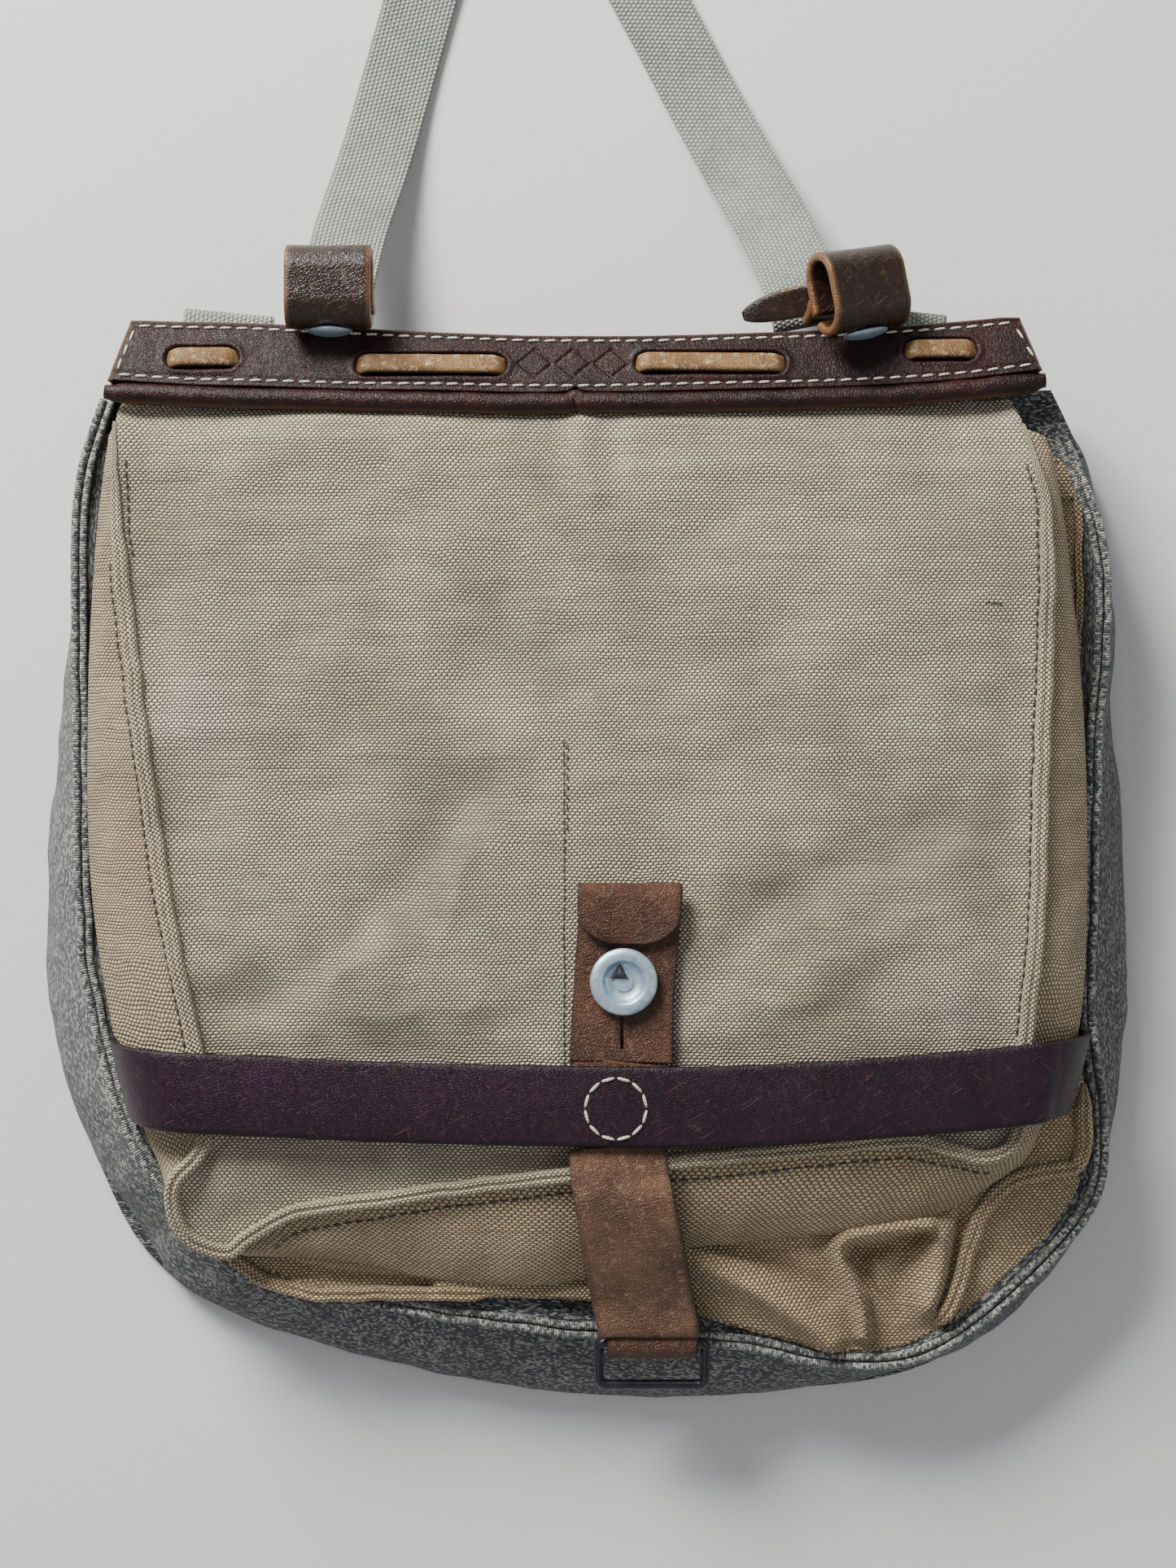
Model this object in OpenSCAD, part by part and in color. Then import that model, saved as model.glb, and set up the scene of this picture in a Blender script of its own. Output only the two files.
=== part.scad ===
// Canvas haversack with a grey cloth back bag, a tan pouch and box flap, leather top bar and straps.
// It lies on its back: X to the right, Y towards the shoulder strap, Z out of the front of the flap.

/* [Bag] */
// Thickness of the canvas
cloth_t = 1.6; // [1.2:0.1:1.8]
// Height of the grey rim above the floor
rim_z = 33; // [31:0.5:34]
// Distance of the rim's middle inside the outline, along the sides
rim_inset = 18; // [17.5:0.25:18.5]
// Width of the doubled rim
rim_w = 5.2; // [4:0.2:5.4]

/* [Pouch] */
// Distance of the pouch wall inside the outline, along the sides
pouch_inset = 27.5; // [27:0.25:28]
// How far the pouch front falls from its middle to its side edges
pouch_crown = 14; // [13.5:0.25:15]
// Y of the pouch's mouth
mouth_y = 122; // [118:1:123]

/* [Flap] */
// How far the flap's face falls from its middle to its side ridges
flap_crown = 3.5; // [3:0.25:4.5]
// Y of the flap's bottom ridge
flap_low_y = -103; // [-105:0.5:-102]
// Radius of the pinched seam around the flap
seam_r = 2.1; // [1.6:0.1:2.2]

/* [Top bar] */
// Y and Z of the bar's lower edge
bar_y = 143; // [143:0.5:145]
bar_z = 50; // [49:0.5:50]
// Slope of the bar, falling away from the flap, in degrees
bar_tilt = 18; // [16:1:19]
// Thickness of the bar's front leather and of its backing
bar_front_t = 3.2; // [3:0.1:3.4]
bar_back_t = 2; // [1.6:0.1:2]
// Radius of the rolled bead along the bar's lower edge
bead_r = 3.6; // [3:0.1:3.6]
// Width and thickness of the lace
lace_w = 6; // [5:0.5:6.5]
lace_t = 2; // [1.6:0.1:2]

/* [Straps] */
// Width and thickness of the cross strap
cross_w = 25; // [23:0.5:26]
cross_t = 2; // [1.6:0.1:2]
// Y of the cross strap's middle
cross_y = -73.5; // [-75:0.5:-72]
// Width and thickness of the closing strap
tab_w = 32; // [28:1:33]
tab_t = 2.4; // [2:0.1:2.4]
// Width of the webbing shoulder strap, and its thickness
web_w = 24; // [22:1:25]
web_t = 2.4; // [1.8:0.1:2.4]
// Width of the two belt loops
loop_w = 27; // [24:1:28]

/* [Hardware] */
// Radius of the closing stud's flange and of its cup
stud_r = 10.4; // [9.5:0.1:10.4]
cup_r = 6.8; // [6:0.1:7]
// Radius of the stud's post
post_r = 3; // [2.5:0.1:3]
// Radius of the ring's wire
wire_r = 1.6; // [1.4:0.05:1.6]
// Width and length of the ring, over its wire
ring_w = 37; // [36:0.5:38]
ring_l = 19; // [18:0.5:19]

/* [Hidden] */
$fn = 32;

grey_cloth = [0.33, 0.35, 0.37];
tan_cloth = [0.62, 0.52, 0.38];
faded_cloth = [0.68, 0.62, 0.5];
dark_leather = [0.24, 0.15, 0.16];
brown_leather = [0.43, 0.28, 0.2];
lace_leather = [0.62, 0.47, 0.24];
webbing = [0.66, 0.7, 0.66];
bright_metal = [0.75, 0.78, 0.8];
black_metal = [0.08, 0.08, 0.1];

// Half outline of the bag lying flat, [x, y] from the bar down to the middle of the bottom
bag_half = [[150, 152], [166, 115], [172, 50], [177, -35], [166, -85], [148, -115],
    [128, -140], [85, -157], [32, -170], [0, -176]];
// Half path of the flap's ridge, and how far its wall stands out and hangs down from it: [x, y, out, drop]
flap_half = [[144, 141, 2, 6], [142, 110, 4, 10], [138, 60, 10, 14], [131, -20, 21, 14], [125, -76, 17, 13.8],
    [116, -95, 17, 14], [98, flap_low_y, 17, 12.5], [50, flap_low_y, 17, 12.5], [0, flap_low_y, 17, 12.5]];
// Height of the pouch's front and of the flap's face along the middle of the bag: [y, z]
pouch_heights = [[-146, 35], [-122, 37], [-110, 42], [-95, 47.5], [-60, 53], [0, 53], [60, 50], [140, 44]];
flap_heights = [[-110, 52], [flap_low_y, 54], [-95, 56], [-73, 58.4], [-20, 58.7], [40, 58], [110, 54],
    [142, 50.5]];

// Points on a smooth curve through the given points, with a number of steps between each pair
function curve_at(a, b, c, d, t) =
    0.5 * (2 * b + (c - a) * t + (2 * a - 5 * b + 4 * c - d) * t * t + (3 * b - a - 3 * c + d) * t * t * t);
function curve(pts, steps) = let (last = len(pts) - 1) concat(
    [for (i = [0 : last - 1], k = [0 : steps - 1])
        curve_at(pts[max(i - 1, 0)], pts[i], pts[i + 1], pts[min(i + 2, last)], k / steps)], [pts[last]]);
function smooth(t) = let (u = min(max(t, 0), 1)) u * u * (3 - 2 * u);

// A half path mirrored into a whole one that runs down the left side and up the right side
function flip(p) = [for (i = [0 : len(p) - 1]) i == 0 ? -p[0] : p[i]];
function whole(half) = concat([for (p = half) flip(p)], [for (i = [len(half) - 2 : -1 : 0]) half[i]]);
// The unit direction that points into the bag at one point of a whole path
function inward(path, i) = let (
    a = path[max(i - 1, 0)], b = path[min(i + 1, len(path) - 1)],
    t = [b[0] - a[0], b[1] - a[1]] / norm([b[0] - a[0], b[1] - a[1]])) [-t[1], t[0]];
bag_path = curve(whole(bag_half), 3);
flap_path = curve(whole(flap_half), 3);
// Seams stand further in along the bottom, where the gusset is laid over more
function bottom_share(y) = smooth((-100 - y) / 50);
function inset_x(i, d) = bag_path[i][0] + inward(bag_path, i)[0] * d;
function inset_y(i, d) = bag_path[i][1] + inward(bag_path, i)[1] * d;
function inset_table(side, low) = [for (i = [0 : floor(len(bag_path) / 2)])
    let (d = side + low * bottom_share(bag_path[i][1])) [inset_y(i, d), -inset_x(i, d)]];
pouch_table = inset_table(pouch_inset, 7);
function pouch_half_w(y) = lookup(y, pouch_table);
function flap_half_w(y) = lookup(y, [for (i = [0 : floor(len(flap_path) / 2)])
    [flap_path[i][1], -flap_path[i][0]]]);
function pouch_z(x, y) = lookup(y, pouch_heights) - pouch_crown * pow(abs(x) / pouch_half_w(y), 4);
function flap_z(x, y) = lookup(y, flap_heights) - flap_crown * pow(x / flap_half_w(y), 2);

// One closed solid through a row of rings that all have the same number of points
module skin(rings) {
    n = len(rings[0]);
    last = len(rings) - 1;
    points = [for (r = rings, p = r) p];
    sides = [for (i = [0 : last - 1], k = [0 : n - 1])
        let (a = i * n + k, b = i * n + (k + 1) % n) each [[a, b, b + n], [a, b + n, a + n]]];
    caps = [[for (k = [n - 1 : -1 : 0]) k], [for (k = [0 : n - 1]) last * n + k]];
    polyhedron(points, concat(sides, caps), convexity = 8);
}
// A band around the bag, from sections [[inset, z], ...] that may change with y
module band(section) {
    skin([for (i = [0 : len(bag_path) - 1])
        [for (s = section(bag_path[i][1])) [inset_x(i, s[0]), inset_y(i, s[0]), s[1]]]]);
}
// A crowned cloth panel between rows of y: half_w(y) wide, top surface z(x, y)
module panel(rows, half_w, z, t, across = 16) {
    skin([for (y = rows) concat(
        [for (k = [0 : across]) let (x = half_w(y) * (2 * k / across - 1)) [x, y, z(x, y)]],
        [for (k = [across : -1 : 0]) let (x = half_w(y) * (2 * k / across - 1)) [x, y, z(x, y) - t]])]);
}

module back_panel() {
    rise = curve([[130, 0], [146, 3], [157, 14], [161, 28], [161.5, 35.3]], 4);
    low = [for (i = [floor(len(bag_path) / 2) : -1 : 0]) if (bag_path[i][1] < 130) bag_path[i]];
    color(grey_cloth) {
        linear_extrude(cloth_t)
            polygon(concat(low, [[-162, 130], [162, 130]],
                [for (i = [len(low) - 1 : -1 : 1]) [-low[i][0], low[i][1]]]));
        translate([-147, 0, 0]) rotate([90, 0, 90]) linear_extrude(287)
            polygon(concat(rise, [for (i = [len(rise) - 1 : -1 : 0])
                rise[i] + cloth_t * (i == 0 ? [0, 1] : i == len(rise) - 1 ? [-1, 0]
                    : let (t = rise[i + 1] - rise[i - 1]) [-t[1], t[0]] / norm(t))]));
    }
}
function rim_at(y) = rim_inset + 8 * bottom_share(y);
function rim_height(y) = rim_z - 3 * bottom_share(y);
module gusset() color(grey_cloth) band(function(y) let (d = rim_at(y), z = rim_height(y) - 2.1)
    [[0, cloth_t + 0.02], [d * 0.45, z * 0.62], [d, z], [d + cloth_t, z - 0.4],
     [d * 0.45 + cloth_t, z * 0.62 - 1.2], [cloth_t + 1.4, cloth_t + 0.02]]);
module gusset_rim() color(grey_cloth) band(function(y) let (d = rim_at(y), z = rim_height(y))
    [[d - rim_w / 2, z - 1.9], [d - rim_w / 2, z + 0.8], [d - rim_w / 3, z + 2], [d, z + 1.1],
     [d + rim_w / 3, z + 2], [d + rim_w / 2, z + 0.8], [d + rim_w / 2, z - 1.9]]);

function pouch_at(y) = pouch_inset + 7 * bottom_share(y);
// The wall starts below the mouth's side ends and stops just under the pouch's front
function wall_top(i) = let (y = inset_y(i, pouch_at(bag_path[i][1])))
    pouch_z(pouch_half_w(y), y) - cloth_t - 0.05;
module pouch_wall() color(tan_cloth)
    skin([for (i = [0 : len(bag_path) - 1]) let (d = pouch_at(bag_path[i][1])) if (bag_path[i][1] < 125)
        [[inset_x(i, d), inset_y(i, d), cloth_t + 0.02], [inset_x(i, d), inset_y(i, d), wall_top(i)],
         [inset_x(i, d + cloth_t), inset_y(i, d + cloth_t), wall_top(i)],
         [inset_x(i, d + cloth_t), inset_y(i, d + cloth_t), cloth_t + 0.02]]]);
pouch_rows = [-138, -134, -129, -124, -118, -110, -102, -94, -80, -60, -30, 0, 30, 60, 90, mouth_y];
module pouch_front() color(tan_cloth)
    panel(pouch_rows, function(y) pouch_half_w(y), function(x, y) pouch_z(x, y), cloth_t);
module pouch_seam() color(tan_cloth)
    skin([for (i = [0 : len(bag_path) - 1])
        let (d = pouch_at(bag_path[i][1]) + 4.5, x = inset_x(i, d), y = inset_y(i, d)) if (y < -124)
        [for (a = [0 : 45 : 315]) let (n = inward(bag_path, i))
            [x + n[0] * 2 * cos(a), y + n[1] * 2 * cos(a), pouch_z(x, y) + 2.4 + 1.8 * sin(a)]]]);

flap_rows = [flap_low_y, -97, -90, -80, -60, -35, -10, 20, 50, 80, 110, 128, 140.6];
module flap_face() color(faded_cloth) difference() {
    panel(flap_rows, function(y) flap_half_w(y) - 0.4, function(x, y) flap_z(x, y), cloth_t);
    translate([stud_x, stud_y, 40]) cylinder(r = post_r + 0.02, h = 30);
}
// The flap's wall hangs outwards from just outside the face's edge
function ridge_z(i) = flap_z(flap_path[i][0] * 0.98, max(flap_path[i][1], flap_low_y));
module flap_wall() color(faded_cloth)
    skin([for (i = [0 : len(flap_path) - 1]) if (flap_path[i][1] < 132)
        let (n = -inward(flap_path, i), o = flap_path[i][2], z = ridge_z(i) - 0.6, d = flap_path[i][3],
            x = flap_path[i][0], y = flap_path[i][1])
        [[x + n[0] * 0.2, y + n[1] * 0.2, z], [x + n[0] * o, y + n[1] * o, z - d],
         [x + n[0] * (o - 1.3), y + n[1] * (o - 1.3), z - d - 0.8],
         [x + n[0] * 0.2, y + n[1] * 0.2, z - 1.9]]]);
module flap_seam() color(faded_cloth)
    skin([for (i = [0 : len(flap_path) - 1]) if (flap_path[i][1] < 134)
        let (n = inward(flap_path, i), x = flap_path[i][0] + n[0] * 2.4,
            y = flap_path[i][1] + n[1] * 2.4)
        [for (a = [0 : 45 : 315]) [x + n[0] * seam_r * cos(a), y + n[1] * seam_r * cos(a),
            flap_z(x, y) + seam_r + 0.15 + seam_r * sin(a) * 0.9]]]);

// The bar's own space: x along it, y up it from the lower edge, z out of its face
module on_bar() translate([0, bar_y, bar_z]) rotate([-bar_tilt, 0, 0]) children();
bar_edge = [[-148, 8], [-142, 29.5], [-60, 26.6], [0, 25.4], [60, 26.6], [136, 30.5], [143, 9], [60, 7],
    [0, 6.6], [-60, 7]];
// Windows where the lace lies in view: [middle x, y, length]
lace_windows = [[-121.5, 17, 20], [-49.4, 14.6, 44.5], [38.5, 15.2, 44.5], [111, 19.6, 20]];
module window(w, grow = 0) translate([w[0], w[1], -bar_front_t - 1]) linear_extrude(bar_front_t + 2)
    hull() for (s = [-1, 1]) translate([s * (w[2] / 2 - lace_w / 2), 0]) circle(r = lace_w / 2 + 1 + grow);
// The channel that the lace runs through behind the front leather, from one window to the next
module channel(a, b) hull() for (w = [a, b])
    translate([w[0], w[1], -bar_front_t - 0.5]) cylinder(r = lace_w / 2 + 0.3, h = lace_t + 0.6);
module bar_front() color(dark_leather) on_bar() difference() {
    translate([0, 0, -bar_front_t]) linear_extrude(bar_front_t) polygon(bar_edge);
    for (w = lace_windows) window(w);
    channel(lace_windows[0], lace_windows[1]);
    channel(lace_windows[2], lace_windows[3]);
}
module bar_back() color(dark_leather) on_bar()
    translate([0, 0, -bar_front_t - bar_back_t - 0.02]) linear_extrude(bar_back_t) polygon(bar_edge);
module bar_bead() color(dark_leather) on_bar()
    translate([-148, 3.2, -bead_r - 0.3]) rotate([0, 90, 0]) cylinder(r = bead_r, h = 291);
// A lace through two windows: flat behind the leather, raised where it lies in view
module lace(a, b) color(lace_leather) on_bar() {
    low = -bar_front_t + 0.02;
    hull() for (w = [a, b]) translate([w[0], w[1], low]) cylinder(r = lace_w / 2, h = 1);
    for (w = [a, b]) translate([w[0], w[1], low]) linear_extrude(bar_front_t + 1.1) hull()
        for (s = [-1, 1]) translate([s * (w[2] / 2 - lace_w / 2), 0]) circle(r = lace_w / 2);
}
module lace_left() lace(lace_windows[0], lace_windows[1]);
module lace_right() lace(lace_windows[2], lace_windows[3]);

// A belt loop: an upright oval ring of leather with a tail that goes down behind the bar
loop_y = 180.5;
loop_z = 50.5;
loop_left_x = -81;
loop_right_x = 84;
loop_turn = 12;
module loop_bar(r, w) {
    for (s = [-1, 1]) translate([-w / 2, s * 4.5, 0]) rotate([0, 90, 0]) cylinder(r = r, h = w);
    translate([-w / 2, -4.5, -r]) cube([w, 9, 2 * r]);
}
module belt_loop(x, turn) color(brown_leather) translate([x, loop_y, loop_z]) rotate([0, 0, turn])
    difference() {
        union() {
            loop_bar(8.6, loop_w);
            translate([-loop_w / 2, 0, 0]) rotate([90, 0, 90]) linear_extrude(loop_w)
                polygon([[-6.5, -15], [-4.5, -15], [0, -7.5], [-5, -7.5]]);
        }
        loop_bar(6, loop_w + 2);
        translate([0, -5, 0]) rotate([90, 0, 0]) cylinder(r = 2.05, h = 10);
    }
module loop_stud(x, turn) color(bright_metal) translate([x, loop_y, loop_z]) rotate([0, 0, turn]) {
    translate([0, -13.2, 0]) rotate([90, 0, 0]) cylinder(r = 6.2, h = 1.6);
    translate([0, -9.8, 0]) rotate([90, 0, 0]) cylinder(r = 2, h = 4);
    translate([0, -8.9, 0]) rotate([90, 0, 0]) cylinder(r = 2.6, h = 0.9);
}
module loop_left() belt_loop(loop_left_x, 0);
module loop_right() belt_loop(loop_right_x, loop_turn);
module loop_stud_left() loop_stud(loop_left_x, 0);
module loop_stud_right() loop_stud(loop_right_x, loop_turn);

// The cross strap lies over the flap and goes down inside the rim at each end: half path [x, z, skew]
cross_half = [[0, 62.4, 0], [60, 61.9, 0], [105, 61.3, 0], [127.6, 60.9, 0.05], [136, 57, 0.18],
    [142.6, 49.5, 0.28], [145.4, 40, 0.32], [145.6, 26, 0.32]];
cross_path = whole([for (i = [len(cross_half) - 1 : -1 : 0]) cross_half[i]]);
module cross_strap() color(dark_leather)
    skin([for (i = [0 : len(cross_path) - 1])
        let (n = inward(cross_path, i) * cross_t / 2, p = cross_path[i],
            k = i < len(cross_path) / 2 ? -p[2] : p[2])
        [for (c = [[-1, -1], [1, -1], [1, 1], [-1, 1]])
            [p[0] + abs(p[2]) * sign(p[0]) * c[0] * cross_w / 2 + n[0] * c[1],
             cross_y + c[0] * cross_w / 2, p[1] + n[1] * c[1]]]]);
stitch_x = 8.5;
module strap_stitch_ring() color("ivory") for (a = [0 : 30 : 330])
    translate([stitch_x, cross_y - 2, 63.95]) rotate([0, 0, a]) translate([9.4, 0, 0])
        rotate([90, 0, 0]) translate([0, 0, -1.6]) cylinder(r = 0.5, h = 3.2);

// The closing strap: a fixed middle under the cross strap, a tab above it and a tail below it
stud_x = 11;
stud_y = -36;
strap_z = 59;
cross_top = cross_y + cross_w / 2;
cross_low = cross_y - cross_w / 2;
module strap_run(y0, x0, y1, x1, z0, z1, w) skin([for (r = [[x0, y0, z0], [x1, y1, z1]])
    [[r[0] - w / 2, r[1], r[2]], [r[0] + w / 2, r[1], r[2]],
     [r[0] + w / 2, r[1], r[2] + tab_t], [r[0] - w / 2, r[1], r[2] + tab_t]]]);
module closure_strap() color(brown_leather)
    translate([9, cross_y, strap_z - 0.05]) translate([-tab_w / 2, 0.3 - cross_w / 2, 0])
        cube([tab_w, cross_w - 0.6, tab_t - 0.4]);
module closure_tab() color(brown_leather) difference() {
    translate([stud_x - tab_w / 2, cross_top, strap_z]) cube([tab_w, 51.5, tab_t]);
    translate([stud_x, stud_y, strap_z - 1]) cylinder(r = post_r + 0.4, h = tab_t + 2);
    translate([stud_x - 0.6, stud_y - 13, strap_z - 1]) cube([1.2, 13, tab_t + 2]);
}
// The tab's end is turned back over itself to make the pull
module tab_tongue() color(brown_leather) translate([stud_x, 0, strap_z + tab_t + 0.02]) {
    translate([-tab_w / 2, -18, 0]) cube([tab_w, 8.5, 2.2]);
    intersection() {
        translate([0, -12.4, 0]) cylinder(r = tab_w / 2, h = 2.2);
        translate([-tab_w / 2, -23.6, 0]) cube([tab_w, 5.6, 2.2]);
    }
}
tail_end_x = 19;
tail_end_y = -147;
module closure_tail() color(brown_leather) skin([for (r = [[8.6, cross_low - 0.4, strap_z], [10, -96, 59.5],
        [11.4, -105, 59], [14.5, -122, 52], [tail_end_x, tail_end_y, 42.1]])
    [[r[0] - tab_w / 2, r[1], r[2]], [r[0] + tab_w / 2, r[1], r[2]],
     [r[0] + tab_w / 2, r[1] - 0.4, r[2] + tab_t], [r[0] - tab_w / 2, r[1] - 0.4, r[2] + tab_t]]]);

// The stud: a flange with a sunken cup, on a post through the flap to a washer behind it
module stud_head() color(bright_metal) translate([stud_x, stud_y, strap_z + tab_t + 0.4])
    rotate_extrude() polygon([[post_r + 0.02, 0], [7.6, 0], [8, 1.2], [stud_r, 1.4], [stud_r, 2.2],
        [stud_r - 0.7, 3], [cup_r + 0.6, 3.4], [cup_r, 3], [cup_r - 0.6, 1], [post_r + 0.02, 1]]);
module stud_post() color(bright_metal) translate([stud_x, stud_y, 55.2])
    cylinder(r = post_r, h = strap_z + tab_t + 1.6 - 55.2);
module stud_washer() color(bright_metal) translate([stud_x, stud_y, 55.4]) difference() {
    cylinder(r = 8, h = 1);
    translate([0, 0, -1]) cylinder(r = post_r + 0.02, h = 3);
}

// The ring hangs from its top bar, which turns in the chape's fold under the strap's end
ring_x = 20.3;
ring_y = -151.5;
ring_z = 39.4;
ring_lay = 22;
chape_w = 28.8;
chape_t = 2;
module chape() color(brown_leather) translate([ring_x - chape_w / 2, ring_y, ring_z]) difference() {
    rotate([90, 0, 90]) linear_extrude(chape_w)
        polygon([[0, -wire_r - chape_t], [12, -0.8], [11.2, 2], [0, 2.5]]);
    translate([-1, 0, 0]) rotate([0, 90, 0]) cylinder(r = wire_r + 0.06, h = chape_w + 2);
}
module ring() color(black_metal) translate([ring_x, ring_y, ring_z]) rotate([ring_lay, 0, 0]) {
    bend = 2.5;
    half = ring_w / 2 - wire_r;
    drop = ring_l - 2 * wire_r;
    for (y = [0, -drop]) translate([-half + bend, y, 0]) rotate([0, 90, 0])
        cylinder(r = wire_r, h = 2 * (half - bend));
    for (x = [-half, half]) translate([x, -bend, 0]) rotate([90, 0, 0])
        cylinder(r = wire_r, h = drop - 2 * bend);
    for (c = [[half - bend, -bend, 0], [-half + bend, -bend, 90], [-half + bend, bend - drop, 180],
            [half - bend, bend - drop, 270]])
        translate([c[0], c[1], 0]) rotate([0, 0, c[2]]) rotate_extrude(angle = 90)
            translate([bend, 0]) circle(r = wire_r);
}

// The webbing strap's middle line, from under the bar on the left to under it on the right
strap_route = [[-82, 171, 32.5], [-80.5, 182, 30], [-76.5, 205, 17], [-69.5, 230, 6], [-62, 258, 1.6],
    [-48, 308, 1.4], [-33, 362, 1.4], [-12, 408, 1.4], [22, 450, 1.4], [46, 480, 1.4], [44, 512, 1.4],
    [12, 532, 1.4], [-34, 528, 1.4], [-64, 502, 1.4], [-72, 466, 1.8], [-58, 424, 3.2], [-33, 381, 4.4],
    [-13, 345, 4.2], [5, 311, 2.4], [24, 276, 1.6], [37.5, 250, 2.4], [49, 228, 7], [60, 206, 17],
    [68, 184, 29], [71, 171, 32.5]];
function route_side(i) = let (a = strap_route[max(i - 1, 0)],
    b = strap_route[min(i + 1, len(strap_route) - 1)], t = [b[0] - a[0], b[1] - a[1]])
    [-t[1], t[0], 0] / norm(t);
module shoulder_strap() color(webbing)
    skin([for (i = [0 : len(strap_route) - 1]) let (p = strap_route[i], s = route_side(i) * web_w / 2)
        [p - s - [0, 0, web_t / 2], p + s - [0, 0, web_t / 2],
         p + s + [0, 0, web_t / 2], p - s + [0, 0, web_t / 2]]]);
module webbing_tab(x, w) color(webbing) on_bar()
    translate([x - w / 2, 8, -bar_front_t - bar_back_t - web_t - 0.1]) cube([w, 27, web_t]);
module webbing_tab_left() webbing_tab(-114, 29);
module webbing_tab_right() webbing_tab(106, 17);

back_panel();
gusset();
gusset_rim();
pouch_wall();
pouch_front();
pouch_seam();
flap_face();
flap_wall();
flap_seam();
bar_front();
bar_back();
bar_bead();
lace_left();
lace_right();
loop_left();
loop_right();
loop_stud_left();
loop_stud_right();
cross_strap();
strap_stitch_ring();
closure_strap();
closure_tab();
tab_tongue();
closure_tail();
stud_head();
stud_post();
stud_washer();
chape();
ring();
shoulder_strap();
webbing_tab_left();
webbing_tab_right();
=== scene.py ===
"""A canvas haversack lying on its back: cloth, leather, lacing, webbing and metal around its frame."""

import math

import bmesh
import bpy
import numpy as np
from mathutils import Matrix, Vector, noise


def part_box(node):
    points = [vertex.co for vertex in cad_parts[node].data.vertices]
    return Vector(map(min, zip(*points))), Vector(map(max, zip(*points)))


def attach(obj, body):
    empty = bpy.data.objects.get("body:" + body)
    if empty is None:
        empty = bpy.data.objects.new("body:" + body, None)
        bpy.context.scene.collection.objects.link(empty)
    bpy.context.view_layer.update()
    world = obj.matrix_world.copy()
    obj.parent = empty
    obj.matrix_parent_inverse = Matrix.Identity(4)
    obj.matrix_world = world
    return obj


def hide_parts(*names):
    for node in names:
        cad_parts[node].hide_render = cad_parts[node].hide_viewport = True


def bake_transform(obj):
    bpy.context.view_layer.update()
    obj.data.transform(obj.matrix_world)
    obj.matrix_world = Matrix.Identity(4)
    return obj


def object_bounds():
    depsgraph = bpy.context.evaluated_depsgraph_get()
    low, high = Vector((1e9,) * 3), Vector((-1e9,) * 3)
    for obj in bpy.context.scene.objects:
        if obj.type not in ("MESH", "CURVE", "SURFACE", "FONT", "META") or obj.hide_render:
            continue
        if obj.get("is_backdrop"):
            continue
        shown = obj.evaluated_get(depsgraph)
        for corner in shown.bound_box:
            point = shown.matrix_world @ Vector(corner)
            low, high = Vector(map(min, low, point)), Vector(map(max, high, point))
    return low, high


MM = 0.001

# ---- The view, the floor and the light --------------------------------------------------------
# The bag lies on a plain pale floor and is seen from straight above, a metre up.
# One large soft light stands beyond the shoulder strap and two weak ones fill the shadows.
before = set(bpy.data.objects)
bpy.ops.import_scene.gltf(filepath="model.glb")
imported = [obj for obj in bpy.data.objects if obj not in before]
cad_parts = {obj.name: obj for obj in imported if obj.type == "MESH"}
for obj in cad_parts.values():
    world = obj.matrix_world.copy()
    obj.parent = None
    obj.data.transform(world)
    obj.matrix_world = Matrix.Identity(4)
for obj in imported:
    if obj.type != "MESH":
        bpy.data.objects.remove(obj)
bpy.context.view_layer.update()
scene = bpy.context.scene


def deselect():
    if bpy.context.object and bpy.context.object.mode != "OBJECT":
        bpy.ops.object.mode_set(mode="OBJECT")
    bpy.ops.object.select_all(action="DESELECT")


deselect()
bpy.ops.object.camera_add(location=(0, 0.025, 1.0), rotation=(0, 0, 0))
scene.camera = bpy.context.object
scene.camera.data.lens = 69.7
scene.camera.data.sensor_width = 36
scene.camera.data.clip_start = 0.01


def soft_light(name, place, target, size, watts, colour):
    bpy.ops.object.light_add(type="AREA", location=place)
    light = bpy.context.object
    light.name = name
    light.rotation_euler = (Vector(target) - Vector(place)).to_track_quat("-Z", "Y").to_euler()
    light.data.size = size
    light.data.energy = watts
    light.data.color = colour


soft_light("window", (-0.75, 1.25, 0.95), (0, 0, 0), 0.7, 68, (1.0, 0.985, 0.95))
soft_light("fill_right", (1.3, -0.2, 1.1), (0, 0, 0), 1.2, 3.6, (0.93, 0.96, 1.0))
soft_light("fill_low", (-0.3, -1.3, 1.0), (0, 0, 0), 1.2, 2.6, (1.0, 0.98, 0.96))
world = bpy.data.worlds.new("room")
scene.world = world
world.use_nodes = True
world.node_tree.nodes["Background"].inputs["Color"].default_value = (0.9, 0.94, 1.0, 1)
world.node_tree.nodes["Background"].inputs["Strength"].default_value = 0.30


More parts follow.
